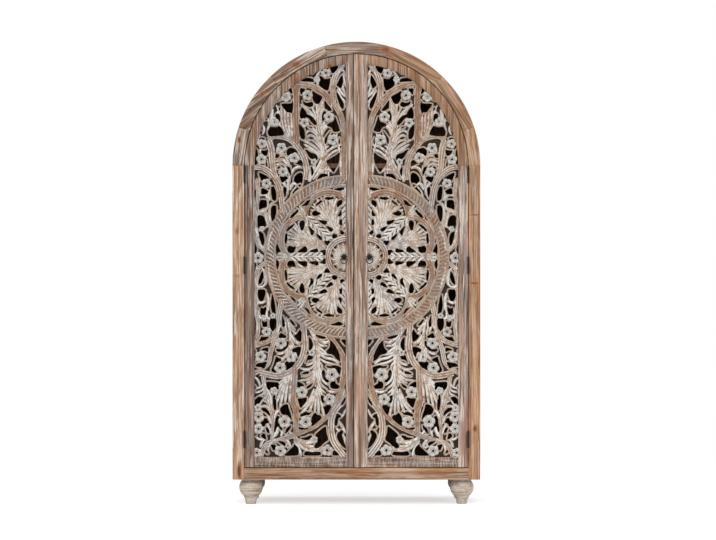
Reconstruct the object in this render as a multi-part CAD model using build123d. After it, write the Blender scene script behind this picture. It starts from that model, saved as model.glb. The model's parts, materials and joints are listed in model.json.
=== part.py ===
from build123d import *
import math
import os

# An arched cabinet on turned feet, with two inset doors whose panels are carved right through.
# Millimetres. X runs across the front, the front faces -Y, Z is up.
# Pieces are drawn with y = 0 on the front of the face frame and y growing backwards,
# and are moved as one so that the origin is the middle of the footprint on the floor.

os.makedirs("parts", exist_ok=True)

# ---------------------------------------------------------------- driving dimensions
WIDTH = 1016
HEIGHT = 1900
DEPTH = 430
FOOT_HEIGHT = 104
FRAME_WIDTH = 48  # stiles, arch ring and bottom rail of the face frame, seen from the front
FRAME_THICK = 25
SIDE_THICK = 18
BACK_THICK = 12
SHELF_THICK = 20
BOTTOM_THICK = 18
SHELF_TOPS = {"lower": 538, "middle": 981, "upper": 1402}

DOOR_GAP = 3
DOOR_RECESS = 3
DOOR_THICK = 24
DOOR_STILE = 39
DOOR_RAIL = 42
MEETING_X = -11  # the line where the doors meet, a little left of the middle
LEFT_PANEL_EDGE = -43  # the carved panels' edges at the meeting stiles
RIGHT_PANEL_EDGE = 46
BEAD_WIDTH = 21
BEAD_PROUD = 8

LIP_WIDE = 8  # the stiles and rails lap over a panel's edge, which is dropped in from behind
LIP_THICK = 5
PANEL_THICK = 16
SEAT_GAP = 0.2
TENON_LONG = 20
TENON_THICK = 8

HINGE_HEIGHTS = {"low": 270, "middle": 984, "top": 1356}
HINGE_TALL = 70
BARREL_R = 3.75
PIN_R = 1.75
PIN_PLAY = 0.05
LEAF_THICK = 1.2
LEAF_DEEP = 26
BARREL_Y = -4.0

PULL_Z = 1018
PULL_ACROSS = 8  # from the panel's inner edge to the middle of the pull
RING_R = 13.5
RING_WIRE = 1.9
EYE_R = 4.2
EYE_Y = -6.4

# ---------------------------------------------------------------- worked out from those
ARCH_R = WIDTH / 2
SPRING_Z = HEIGHT - ARCH_R
OPENING_R = ARCH_R - FRAME_WIDTH
DOOR_R = OPENING_R - DOOR_GAP
PANEL_R = DOOR_R - DOOR_STILE
SILL_Z = FOOT_HEIGHT + FRAME_WIDTH
DOOR_Z = SILL_Z + DOOR_GAP
PANEL_Z = DOOR_Z + DOOR_RAIL
INSIDE_R = ARCH_R - SIDE_THICK
BACK_Y = DEPTH - BACK_THICK
DOOR_BACK = DOOR_RECESS + DOOR_THICK
PANEL_FRONT = DOOR_RECESS + LIP_THICK
PANEL_BACK = PANEL_FRONT + PANEL_THICK
PULL_FRONT = EYE_Y - EYE_R
HINGE_X = OPENING_R - DOOR_GAP / 2
FRONT_SHIFT = -(DEPTH + PULL_FRONT) / 2  # half-way between the back and the pulls' eyes
ROD_SIDES = 8

LEFT, RIGHT = -1, 1
SIDES = {"left": LEFT, "right": RIGHT}
DOOR_EDGE = {LEFT: MEETING_X - DOOR_GAP / 2, RIGHT: MEETING_X + DOOR_GAP / 2}
PANEL_EDGE = {LEFT: LEFT_PANEL_EDGE, RIGHT: RIGHT_PANEL_EDGE}
# Each arched rail is two boards with upright grain, joined on an upright line.
RAIL_JOINT_X = {LEFT: -313, RIGHT: 226}
# Joints between the seven boards of the arch ring, in degrees round from the right.
RING_JOINTS = [0, 18, 46, 75, 105, 134, 162, 180]


# ---------------------------------------------------------------- drawing helpers
def flat(*edges):
    """A closed outline drawn as seen from the front: across, then up."""
    return make_face(Wire(edges))


def rectangle(x_low, x_high, z_low, z_high):
    middle = Pos((x_low + x_high) / 2, (z_low + z_high) / 2)
    return middle * Rectangle(x_high - x_low, z_high - z_low)


def board(outline, y_front, y_back):
    """Gives a front-view outline its thickness."""
    upright = Plane.XZ * outline
    return Pos(0, y_front, 0) * extrude(upright, amount=y_back - y_front, dir=(0, 1, 0))


def block(x, y, z):
    """A plain board between three pairs of limits."""
    return board(rectangle(x[0], x[1], z[0], z[1]), y[0], y[1])


def across(side, near, far):
    """Left-to-right limits of something that is near..far from the middle on one side."""
    return sorted((side * near, side * far))


def ring_sector(inner, outer, start, end):
    """Part of an arch ring about the springing point, between two angles in degrees."""
    centre = (0, SPRING_Z)
    outside = CenterArc(centre, outer, start, end - start)
    inside = CenterArc(centre, inner, start, end - start)
    return flat(outside, Line(outside @ 1, inside @ 1), inside, Line(inside @ 0, outside @ 0))


def under_arch(radius, x_low, x_high, z_low):
    """An upright strip whose top follows an arch of the given radius."""
    half_disc = Pos(0, SPRING_Z) * Circle(radius)
    arch = half_disc + rectangle(-radius, radius, z_low, SPRING_Z)
    return arch & rectangle(x_low, x_high, z_low, HEIGHT)


def upright_rod(radius, x, y, z_low, z_high):
    """A small pin or bolt, drawn with flats because there are many of them."""
    return Pos(x, y, z_low) * extrude(RegularPolygon(radius, ROD_SIDES), amount=z_high - z_low)


def upright_bore(radius, x, y, z_low, z_high):
    """The hole for a rod: its flats, not its corners, stand at the radius."""
    return upright_rod(radius / math.cos(math.pi / ROD_SIDES), x, y, z_low, z_high)


def save(node, *pieces):
    """Moves one node's solids into the part's frame and writes them."""
    solids = [solid for piece in pieces for solid in piece.solids()]
    moved = [Pos(0, FRONT_SHIFT, 0) * solid for solid in solids]
    export_step(Compound(children=moved), f"parts/{node}.step")


# ---------------------------------------------------------------- carcase
def carcase():
    for name, side in SIDES.items():
        x = across(side, INSIDE_R, ARCH_R)
        save(f"side_panel_{name}", block(x, (FRAME_THICK, DEPTH), (FOOT_HEIGHT, SPRING_Z)))

    stave_angle = 15
    staves = []
    for start in range(0, 180, stave_angle):
        sector = ring_sector(INSIDE_R, ARCH_R, start, start + stave_angle)
        staves.append(board(sector, FRAME_THICK, DEPTH))
    save("roof_staves", *staves)

    inside = (-INSIDE_R, INSIDE_R)
    bottom_z = (SILL_Z - BOTTOM_THICK, SILL_Z)
    save("bottom_board", block(inside, (FRAME_THICK, BACK_Y), bottom_z))
    rail_z = (FOOT_HEIGHT, bottom_z[0])
    save("rear_rail", block(inside, (BACK_Y - SIDE_THICK, BACK_Y), rail_z))

    boards = 5
    board_wide = 2 * INSIDE_R / boards
    back = []
    for number in range(boards):
        x_low = -INSIDE_R + number * board_wide
        strip = under_arch(INSIDE_R - SEAT_GAP, x_low, x_low + board_wide, FOOT_HEIGHT)
        back.append(board(strip, BACK_Y, DEPTH))
    save("back_boards", *back)


def shelves():
    play = 1
    shelf_y = (DOOR_BACK + 8, BACK_Y)
    cleat_wide = 18
    cleats = []
    for name, top in SHELF_TOPS.items():
        wide = (-INSIDE_R + play, INSIDE_R - play)
        save(f"shelf_{name}", block(wide, shelf_y, (top - SHELF_THICK, top)))
        under = top - SHELF_THICK
        for side in SIDES.values():
            x = across(side, INSIDE_R - cleat_wide, INSIDE_R)
            cleats.append(block(x, (shelf_y[0] + 20, BACK_Y - 20), (under - cleat_wide, under)))
    save("shelf_cleats", *cleats)


def face_frame():
    rail_z = (FOOT_HEIGHT, SILL_Z)
    tenon_z = (FOOT_HEIGHT + 8, SILL_Z - 8)
    tenon_y = ((FRAME_THICK - TENON_THICK) / 2, (FRAME_THICK + TENON_THICK) / 2)
    rail = block((-OPENING_R, OPENING_R), (0, FRAME_THICK), rail_z)
    for name, side in SIDES.items():
        tenon = block(across(side, OPENING_R, OPENING_R + TENON_LONG), tenon_y, tenon_z)
        stile = block(across(side, OPENING_R, ARCH_R), (0, FRAME_THICK), (FOOT_HEIGHT, SPRING_Z))
        save(f"frame_stile_{name}", stile - tenon)
        rail += tenon
    save("frame_bottom_rail", rail)
    for number, (start, end) in enumerate(zip(RING_JOINTS, RING_JOINTS[1:]), start=1):
        segment = ring_sector(OPENING_R, ARCH_R, start, end)
        save(f"frame_arch_segment_{number}", board(segment, 0, FRAME_THICK))


# ---------------------------------------------------------------- feet
FOOT_IN = 73  # from the cabinet's side and front or back to a foot's middle
FOOT_BLOCK = 80
FOOT_SIDES = 20
BOLT_R = 5
BOLT_DEEP = 40
# A squat turned foot: a flared base, a sharp step, a full bulb and a short neck (height, radius).
FOOT_PROFILE = [(0, 21), (35, 32), (38, 37), (51, 46), (67, 49), (84, 46), (FOOT_HEIGHT, 38)]


def foot():
    """One foot with its bolt hole: the outline cut from both sides of a block, turned by steps."""
    right = [(radius, up) for up, radius in FOOT_PROFILE]
    left = [(-radius, up) for up, radius in reversed(FOOT_PROFILE)]
    outline = Plane.XZ * make_face(Polyline(*right, *left, close=True))
    cut = extrude(outline, amount=FOOT_BLOCK, both=True)
    turned = cut
    for number in range(1, FOOT_SIDES // 2):
        turned &= Rot(0, 0, number * 360 / FOOT_SIDES) * cut
    return turned - upright_bore(BOLT_R + SEAT_GAP, 0, 0, FOOT_HEIGHT - BOLT_DEEP, FOOT_HEIGHT)


def feet():
    block_z = (FOOT_HEIGHT, SILL_Z - BOTTOM_THICK)
    rows = {"front": FOOT_IN, "rear": DEPTH - FOOT_IN}
    blocks, bolts = [], []
    for row, y in rows.items():
        pair = []
        for side in SIDES.values():
            x = side * (ARCH_R - FOOT_IN)
            pair.append(Pos(x, y, 0) * foot())
            half = FOOT_BLOCK / 2
            solid = block((x - half, x + half), (y - half, y + half), block_z)
            blocks.append(solid - upright_bore(BOLT_R + SEAT_GAP, x, y, *block_z))
            bolts.append(upright_rod(BOLT_R, x, y, FOOT_HEIGHT - BOLT_DEEP + 2, block_z[1]))
        save(f"feet_{row}", *pair)
    save("corner_blocks", *blocks)
    save("foot_bolts", *bolts)


# ---------------------------------------------------------------- hinges
def hinge(side, middle_z):
    """A butt hinge with three knuckles. Its pin is fixed in the frame's two and turns in the door's."""
    x = side * HINGE_X
    bottom = middle_z - HINGE_TALL / 2
    knuckle = HINGE_TALL / 3
    cuts = [bottom, bottom + knuckle, bottom + 2 * knuckle, bottom + HINGE_TALL]
    play = 0.3
    plate_y = BARREL_Y + BARREL_R + play

    def leaf(plate_x, spans):
        plate = block(plate_x, (plate_y, BARREL_Y + LEAF_DEEP), (bottom, bottom + HINGE_TALL))
        for low, high in spans:
            plate += block(plate_x, (BARREL_Y, plate_y), (low, high))
            plate += upright_rod(BARREL_R, x, BARREL_Y, low, high)
        return plate

    frame_leaf = leaf(across(side, OPENING_R - LEAF_THICK, OPENING_R), [cuts[:2], cuts[2:]])
    frame_leaf += upright_rod(PIN_R, x, BARREL_Y, cuts[1] - knuckle / 2, cuts[2] + knuckle / 2)
    door_span = (cuts[1] + play, cuts[2] - play)
    door_leaf = leaf(across(side, DOOR_R, DOOR_R + LEAF_THICK), [door_span])
    return frame_leaf, door_leaf - upright_bore(PIN_R + PIN_PLAY, x, BARREL_Y, *cuts[1:3])


def hinges():
    for name, side in SIDES.items():
        sets = [hinge(side, z) for z in HINGE_HEIGHTS.values()]
        save(f"hinge_frame_leaves_{name}", *[leaves[0] for leaves in sets])
        save(f"hinge_door_leaves_{name}", *[leaves[1] for leaves in sets])


# ---------------------------------------------------------------- carved panels
# The carver's drawing is squared up: one square is SQUARE mm. A point is given as squares
# from the panel's inner edge towards the hinges, then squares above the medallion's middle.
SQUARE = 4.1
MEDALLION_Z = PULL_Z

# Stems: width at each end in squares, then the middle line.
STEMS = [
    (7, 5, [(40, 77), (39, 86), (43, 102), (55, 117), (70, 121), (78, 117)]),
    (7, 4, [(20, 78), (20, 99), (25, 118), (28, 135), (27, 149), (22.5, 160)]),
    (6, 6, [(49, 112), (49.5, 137), (50, 165), (53, 175)]),
    (6, 5, [(55, 173), (42, 172.5), (27, 167.5), (14.5, 156), (5, 141), (2, 122), (2.5, 78)]),
    (6, 6, [(12, 150), (13, 167), (11, 180), (3, 192)]),
    (6, 6, [(94, 90), (84, 89), (76, 84), (70, 76), (66, 66), (63, 44)]),
    (4.5, 4.5, [(88.5, 79), (88, 62), (90.5, 32), (88, 14), (80, 5)]),
    (4, 4, [(92, 42), (82, 45), (78, 37), (75, 27)]),
    (4.5, 4.5, [(80, -5), (89, -15), (90, -43), (88, -73), (92, -88)]),
    (6, 6, [(64, -42), (68, -63), (69, -72), (73, -80), (80, -85), (94, -89)]),
    (5, 5, [(70, -76), (75, -94), (79, -108), (94, -118)]),
    (7, 7, [(43, -66), (42, -81), (41.5, -91), (44.5, -102), (51, -111), (66, -119), (86, -116)]),
    (8, 6, [(52, -110), (52.5, -131), (53, -145), (50, -155), (50, -178)]),
    (7, 6, [(18, -78), (4, -99), (2, -117), (10, -146), (27, -166), (47, -176), (60, -181)]),
    (7, 7, [(1, -132), (5, -145), (12, -155), (15, -166), (14, -180), (10, -189), (0, -202)]),
    (4, 4, [(83, -118), (80, -138), (74, -158), (73, -171), (74, -185)]),
    (5, 5, [(55, -179), (66, -183), (80, -188), (86, -202)]),
    (4, 4, [(52, -178), (49, -188), (46, -203)]),
    (4, 4, [(48, -187), (36, -193), (20, -193)]),
    (3.5, 3.5, [(58, 160), (74, 153), (83, 139), (88, 125), (92, 108)]),
]

# Five-petalled flowers: middle and radius in squares.
FLOWERS = [
    (20, 184, 5), (60, 160, 5.5), (38.5, 162, 7), (17, 140.5, 7), (41.5, 134, 6),
    (13, 117, 6), (72, 135, 5), (84, 113, 5), (64, 111, 7), (50.5, 99, 6.5),
    (85, 96.5, 6.5), (63, 85, 5), (79.5, 74, 6.5), (88, -1, 6), (79, -75, 6.5),
    (65, -86.5, 6), (85.5, -100, 7), (55, -100, 6), (66, -111, 6), (14, -118, 7),
    (44, -135.5, 6), (16.5, -142.5, 6), (87.5, -160, 6), (87.5, -172, 5.5), (59.3, -165, 8),
    (40.3, -165.3, 6.5), (65.6, -193, 7), (18.8, -193.7, 6.5), (89, -196, 5),
]

# Leaflets: foot, tip, width and sideways bow, all in squares.
LEAFLETS = [
    ((20, 78), (25, 122), 9, 3), ((27, 118), (44, 125), 6, 2),
    ((26, 108), (46, 114), 6, 2), ((22, 100), (39, 106), 5, 2), ((28, 130), (41, 144), 6, 2),
    ((27, 138), (45, 151), 6, 2), ((27, 144), (14, 149), 5, 2), ((25, 112), (11, 122), 6, -2),
    ((20, 92), (1, 108), 7, 3), ((20, 84), (6, 97), 6, 2), ((49, 116), (66, 152), 10, 4),
    ((0, 143), (3, 181), 8, 0), ((54, 72), (62, 93), 7, 3), ((52, 62), (44, 80), 6, -2),
    ((55, 90), (50, 104), 6, 2), ((38, -72), (28, -104), 8, 3), ((28, -98), (32, -138), 9, -2),
    ((30, -130), (46, -156), 9, 4), ((30, -130), (21, -162), 9, -4), ((31, -130), (33, -165), 6, 0),
    ((29, -106), (45, -111), 6, -2), ((30, -112), (46, -123), 6, -2), ((33, -84), (16, -88), 6, 2),
    ((28, -96), (7, -107), 7, 3), ((30, -120), (15, -132), 7, 3), ((60, -58), (56, -100), 6, -2),
    ((58, -72), (70, -79), 5, 2), ((57, -84), (46, -92), 5, -2), ((54, -119), (70, -155), 12, 4),
    ((80, -130), (94, -137), 6, 2), ((50, -182), (28, -184), 9, 2), ((60, -181), (70, -171), 5, 2),
    ((-1, -152), (4, -178), 6, 2), ((30, 178), (29, 190), 6, 0), ((40, 98), (30, 94), 5, 1),
    ((71, -131), (80, -141), 6, 1), ((92, -146), (77, -152), 6, 2), ((58, -181), (57, -192), 5, 0),
    ((65, -182), (66, -196), 5, 0), ((49, -158), (60, -168), 6, 0), ((68, -60), (76, -58), 5, 0),
    ((78, -59), (92, -62), 5, 0), ((75, 30), (91, 27), 5, 0), ((73, 79), (60, 88), 5, 0),
    ((69, 122), (73, 139), 6, 0), ((74, 81), (80, 70), 5, 0),
]

# The medallion, in squares: a whole wheel of eight lobes, cut in half by the meeting stiles.
WREATH_IN, WREATH_OUT = 70.5, 82
LOBE_AT, LOBE_R, LOBE_BAND = 44.4, 23.6, 5.5
JUNCTION_R = 57.4
HUB_R = 21
LOBES = 8
PALMETTE_R, PALMETTE_LEAN = 60, 0.09
FLOWER_SIDES = 6
STROKE = 15


def square_point(squares_across, squares_up):
    return Vector(squares_across, squares_up) * SQUARE


def band(middle_line, wide_start, wide_end):
    """A strip of changing width, in squares, along a line of points."""
    one_side, other_side = [], []
    last = len(middle_line) - 1
    for number, middle in enumerate(middle_line):
        before, after = middle_line[max(number - 1, 0)], middle_line[min(number + 1, last)]
        forward = (after - before).normalized()
        half = (wide_start + (wide_end - wide_start) * number / last) * SQUARE / 2
        sideways = Vector(-forward.Y, forward.X) * half
        one_side.append(middle + sideways)
        other_side.append(middle - sideways)
    return make_face(Polyline(*one_side, *reversed(other_side), close=True))


def stem(wide_start, wide_end, points):
    """A carved stem along a smooth line, cut in short straight strokes."""
    line = Spline(*[square_point(*point) for point in points])
    strokes = max(3, round(line.length / (STROKE * SQUARE)))
    return band([line @ (number / strokes) for number in range(strokes + 1)], wide_start, wide_end)


def leaflet(foot_at, tip_at, wide, bow=0):
    """A pointed leaf, widest near its foot, bowed to one side."""
    start, end = square_point(*foot_at), square_point(*tip_at)
    forward = (end - start).normalized()
    sideways = Vector(forward.Y, -forward.X) * SQUARE

    def edge_point(along, share):
        bowed = 4 * along * (1 - along) * bow
        return start + (end - start) * along + sideways * (bowed + share * wide / 2)

    left = [edge_point(0.3, 0.95), edge_point(0.7, 0.75)]
    right = [edge_point(0.7, -0.75), edge_point(0.3, -0.95)]
    return make_face(Polyline(start, *left, end, *right, close=True))


def flower(middle_across, middle_up, radius):
    middle = square_point(middle_across, middle_up)
    return Pos(middle.X, middle.Y) * RegularPolygon(radius * SQUARE, FLOWER_SIDES)


def medallion():
    """Wreath, lobes, spokes and palmettes, by one lobe turned about the hub."""
    half_turn = math.pi / LOBES
    # Half the angle of a lobe's arc, seen from the lobe's own centre.
    swing_limit = math.atan2(
        JUNCTION_R * math.sin(half_turn), JUNCTION_R * math.cos(half_turn) - LOBE_AT
    )

    def polar(radius, turn, about=(0, 0)):
        return (about[0] + radius * math.cos(turn), about[1] + radius * math.sin(turn))

    shapes = [Circle(WREATH_OUT * SQUARE) - Circle(WREATH_IN * SQUARE)]
    strokes = 6
    for number in range(LOBES):
        turn = half_turn * (2 * number + 1)
        about = polar(LOBE_AT, turn)
        arc = []
        for stroke in range(strokes + 1):
            swing = turn + swing_limit * (2 * stroke / strokes - 1)
            arc.append(square_point(*polar(LOBE_R, swing, about)))
        shapes.append(band(arc, LOBE_BAND, LOBE_BAND))
        spoke = turn + half_turn
        shapes.append(leaflet(polar(HUB_R - 2, spoke), polar(JUNCTION_R + 1, spoke), 9))
        shapes.append(leaflet(polar(JUNCTION_R - 3, spoke), polar(WREATH_IN + 6, spoke), 7))
        for lean in (-PALMETTE_LEAN, PALMETTE_LEAN):
            foot_at, tip = polar(HUB_R - 3, turn + lean / 2), polar(PALMETTE_R, turn + lean)
            shapes.append(leaflet(foot_at, tip, 9, 12 * lean))
    return shapes


def carving():
    """The whole pierced drawing for one door, its inner edge on the line x = 0."""
    shapes = [stem(*one) for one in STEMS] + [flower(*one) for one in FLOWERS]
    shapes += [leaflet(*one) for one in LEAFLETS] + medallion()
    return Sketch() + shapes


def panel_outline(side, lap):
    """A door's panel opening, grown on every edge by how far it goes under the lip."""
    inner, outer = sorted((PANEL_EDGE[side], side * PANEL_R))
    return under_arch(PANEL_R + lap, inner - lap, outer + lap, PANEL_Z - lap)


def carved_panel(side, drawing):
    """A board cut right through into stems, leaves and flowers, with a plain rim under the lip."""
    if side == LEFT:
        drawing = mirror(drawing, about=Plane.YZ)
    place = Pos(PANEL_EDGE[side], MEDALLION_Z)
    whole = panel_outline(side, LIP_WIDE - SEAT_GAP)
    rim_showing = 2
    rim = whole - panel_outline(side, -rim_showing)
    panel = board(((place * drawing) & whole) + rim, PANEL_FRONT, PANEL_BACK)
    hub = (place * Circle(HUB_R * SQUARE)) & panel_outline(side, -SEAT_GAP)
    return panel + board(hub, DOOR_RECESS, PANEL_BACK)


def panel_rebate(side):
    """The step in the stiles and rails that a panel and its bead are dropped into."""
    return board(panel_outline(side, LIP_WIDE), PANEL_FRONT, DOOR_BACK)


def panel_bead(side):
    """The thin frame behind a panel that holds it in its rebate."""
    bead = panel_outline(side, LIP_WIDE - SEAT_GAP) - panel_outline(side, 0)
    return board(bead, PANEL_BACK, DOOR_BACK)


# ---------------------------------------------------------------- doors
def door(name, side, drawing):
    thick = (DOOR_RECESS, DOOR_BACK)
    rebate = panel_rebate(side)
    tenon_y = (PANEL_FRONT + 2, PANEL_FRONT + 2 + TENON_THICK)
    tenon_z = (DOOR_Z + 6, PANEL_Z - LIP_WIDE - 4)
    panel_edge, hinge_edge = PANEL_EDGE[side], side * PANEL_R
    near, far = sorted((panel_edge, hinge_edge))
    tenons = block((near - TENON_LONG, near), tenon_y, tenon_z)
    tenons += block((far, far + TENON_LONG), tenon_y, tenon_z)

    hinge_stile = block(across(side, PANEL_R, DOOR_R), thick, (DOOR_Z, SPRING_Z))
    save(f"hinge_stile_{name}", hinge_stile - rebate - tenons)
    low, high = sorted((panel_edge, DOOR_EDGE[side]))
    meeting_stile = board(under_arch(DOOR_R, low, high, DOOR_Z), *thick)
    save(f"meeting_stile_{name}", meeting_stile - rebate - tenons)
    bottom_rail = block((near, far), thick, (DOOR_Z, PANEL_Z))
    save(f"door_bottom_rail_{name}", bottom_rail - rebate + tenons)

    whole_ring = ring_sector(PANEL_R, DOOR_R, 0, 180)
    joint = RAIL_JOINT_X[side]
    spans = {"outer": (joint, side * DOOR_R), "inner": (panel_edge, joint)}
    for span, (one_end, other_end) in spans.items():
        low, high = sorted((one_end, other_end))
        rail = board(whole_ring & rectangle(low, high, SPRING_Z, HEIGHT), *thick)
        save(f"arch_rail_{span}_{name}", rail - rebate)
    save(f"carved_panel_{name}", carved_panel(side, drawing))
    save(f"panel_bead_{name}", panel_bead(side))


def meeting_bead():
    """The half-round bead on the right door's edge that hides the gap between the doors."""
    low, high = DOOR_EDGE[RIGHT], DOOR_EDGE[RIGHT] + BEAD_WIDTH
    quirk = 2
    foot_y, crown_y = DOOR_RECESS - quirk, DOOR_RECESS - BEAD_PROUD
    crown = ThreePointArc((low, foot_y), ((low + high) / 2, crown_y), (high, foot_y))
    section = flat(
        Line((low, DOOR_RECESS), (low, foot_y)),
        crown,
        Line((high, foot_y), (high, DOOR_RECESS)),
        Line((high, DOOR_RECESS), (low, DOOR_RECESS)),
    )
    strip = Pos(0, 0, DOOR_Z) * extrude(section, amount=HEIGHT - DOOR_Z)
    arch = board(under_arch(DOOR_R, low, high, DOOR_Z), crown_y, DOOR_RECESS)
    save("meeting_bead", strip & arch)


# ---------------------------------------------------------------- pulls and catches
def pull(name, side):
    """A star-shaped plate with a low dome and an eye, and the ring that hangs in the eye."""
    x = PANEL_EDGE[side] + side * PULL_ACROSS
    points, plate_r, plate_thick = 9, 14.5, 1.5
    corners = []
    for corner in range(2 * points):
        reach = plate_r * (1.0 if corner % 2 == 0 else 0.78)
        angle = math.radians(90 + corner * 180 / points)
        corners.append((x + reach * math.cos(angle), PULL_Z + reach * math.sin(angle)))
    plate_y = DOOR_RECESS - plate_thick
    plate = board(make_face(Polyline(*corners, close=True)), plate_y, DOOR_RECESS)

    dome_r, dome_tall, dome_sides, slope = 8, 4, 10, 3
    dome = board(Pos(x, PULL_Z) * RegularPolygon(dome_r, dome_sides), plate_y - dome_tall, plate_y)
    dome = chamfer(dome.faces().sort_by(Axis.Y)[0].edges(), slope)

    eye_hole, eye_half, eye_sides, shank = RING_WIRE + 0.5, 1.5, 12, 6
    eye_face = RegularPolygon(EYE_R, eye_sides) + Pos(0, shank / 2) * Rectangle(2 * eye_hole, shank)
    eye_face -= RegularPolygon(eye_hole / math.cos(math.pi / ROD_SIDES), ROD_SIDES)
    eye_plane = Plane(origin=(x, EYE_Y, PULL_Z), x_dir=(0, 0, 1), z_dir=(1, 0, 0))
    eye = extrude(eye_plane * (Rot(0, 0, 180) * eye_face), amount=eye_half, both=True)
    save(f"pull_plate_{name}", plate + dome + eye)

    links, wire_sides = 18, 6
    middle = Plane(origin=(x, EYE_Y, PULL_Z - RING_R), x_dir=(1, 0, 0), z_dir=(0, -1, 0))
    path = middle * RegularPolygon(RING_R, links).wire()
    section = Plane(origin=path @ 0, z_dir=path % 0) * RegularPolygon(RING_WIRE, wire_sides)
    save(f"pull_ring_{name}", sweep(section, path=path, transition=Transition.RIGHT))


def catches():
    """A magnetic catch for each door under the upper shelf, and the strike plates they hold."""
    under = SHELF_TOPS["upper"] - SHELF_THICK
    strike_thick, catch_gap, tall = 1, 0.5, 12
    magnets = []
    for name, (low, high) in {"left": (-40, -15), "right": (4, 29)}.items():
        front = DOOR_BACK + strike_thick + catch_gap
        magnets.append(block((low, high), (front, front + 30), (under - tall, under)))
        strike_y = (DOOR_BACK, DOOR_BACK + strike_thick)
        save(f"strike_plate_{name}", block((low, high), strike_y, (under - tall - 2, under - 1)))
    save("magnet_catches", *magnets)


def main():
    carcase()
    shelves()
    face_frame()
    feet()
    hinges()
    drawing = carving()
    for name, side in SIDES.items():
        door(name, side, drawing)
        pull(name, side)
    meeting_bead()
    catches()


main()
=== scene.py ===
"""An arched cabinet on turned feet with two pierced, carved doors: its looks, built round the fixed frame."""

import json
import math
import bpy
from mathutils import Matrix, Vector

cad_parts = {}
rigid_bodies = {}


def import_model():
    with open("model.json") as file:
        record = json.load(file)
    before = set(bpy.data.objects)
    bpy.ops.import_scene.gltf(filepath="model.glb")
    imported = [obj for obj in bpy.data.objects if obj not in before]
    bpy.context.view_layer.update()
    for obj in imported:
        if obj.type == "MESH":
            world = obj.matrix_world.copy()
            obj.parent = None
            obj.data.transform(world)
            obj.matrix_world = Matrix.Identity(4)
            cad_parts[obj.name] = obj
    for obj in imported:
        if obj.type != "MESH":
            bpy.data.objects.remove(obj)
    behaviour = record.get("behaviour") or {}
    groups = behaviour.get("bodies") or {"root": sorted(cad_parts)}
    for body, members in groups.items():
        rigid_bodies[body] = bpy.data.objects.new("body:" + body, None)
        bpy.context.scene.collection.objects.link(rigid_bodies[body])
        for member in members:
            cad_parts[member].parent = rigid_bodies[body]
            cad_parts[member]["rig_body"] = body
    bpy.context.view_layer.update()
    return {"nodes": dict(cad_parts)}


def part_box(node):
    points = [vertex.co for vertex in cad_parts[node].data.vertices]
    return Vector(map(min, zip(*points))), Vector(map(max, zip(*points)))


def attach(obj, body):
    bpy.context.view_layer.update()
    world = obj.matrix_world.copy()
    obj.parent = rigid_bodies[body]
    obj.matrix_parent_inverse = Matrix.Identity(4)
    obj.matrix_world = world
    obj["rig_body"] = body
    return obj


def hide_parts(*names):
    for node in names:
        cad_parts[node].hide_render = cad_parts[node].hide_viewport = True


bl_info = {
    "name": "Carved Arched Cabinet",
    "version": (1, 0, 0),
    "blender": (4, 5, 0),
    "location": "3D View > Sidebar > Cabinet",
    "description": "Dresses an arched cabinet with worn boards, carved doors, turned feet and iron",
    "category": "Object",
}

from collections import Counter

import bmesh
import bpy
from bpy.props import FloatProperty, FloatVectorProperty, IntProperty, PointerProperty
from mathutils import Matrix, Vector
from mathutils.geometry import delaunay_2d_cdt

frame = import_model()

# Lengths are in metres. Depths count backwards from the front of the face frame.
FACE_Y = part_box("frame_bottom_rail")[0].y
FOOT_HEIGHT, SPRING_Z = (corner.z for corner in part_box("frame_stile_left"))
STILE_WIDE = 0.048
PULL_Z = 1.018
PANEL_RADIUS = -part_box("hinge_stile_left")[1].x
PANEL_EDGE = {"left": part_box("meeting_stile_left")[0].x, "right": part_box("meeting_stile_right")[1].x}
PANEL_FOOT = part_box("door_bottom_rail_left")[1].z
SQUARE = 0.0041  # the side of one square of the carver's drawing
SIDES = {"left": -1, "right": 1}


def linear(red, green, blue):
    """A screen colour, 0 to 255, as the renderer's own numbers."""
    return tuple((c / 255 / 12.92) if c <= 10 else ((c / 255 + 0.055) / 1.055) ** 2.4 for c in (red, green, blue))


def colour_setting(name, description, *screen):
    return FloatVectorProperty(
        name=name, description=description, subtype="COLOR", size=3, min=0, max=1, default=linear(*screen)
    )


def length_setting(name, description, metres):
    return FloatProperty(
        name=name, description=description, default=metres, min=0, subtype="DISTANCE", unit="LENGTH"
    )


class CabinetSizes(bpy.types.PropertyGroup):
    """Sizes of the cabinet's finer shapes."""

    edge_round: length_setting("Edge Round", "How far the boards' worn edges are rounded", 0.0014)
    ground_depth: length_setting("Ground Depth", "How deep the carving's ground lies behind the frame", 0.0135)
    panel_back: length_setting("Panel Back", "How far back the carved boards reach", 0.024)
    stem_top: length_setting("Stem Depth", "How far behind the frame the stems' crowns lie", 0.0066)
    leaf_top: length_setting("Leaf Depth", "How far behind the frame the leaves' crowns lie", 0.0058)
    flower_top: length_setting("Flower Depth", "How far behind the frame the flowers' crowns lie", 0.0042)
    wreath_gouges: IntProperty(
        name="Wreath Gouges", description="Slanted cuts round half of the wreath", default=60, min=8, max=90
    )
    gouge_slant: FloatProperty(
        name="Gouge Slant", description="Turn of each cut away from the radius", default=0.5,
        subtype="ANGLE", unit="ROTATION",
    )
    foot_turns: IntProperty(name="Foot Turns", description="Faces round a turned foot", default=72, min=24, max=128)


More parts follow.
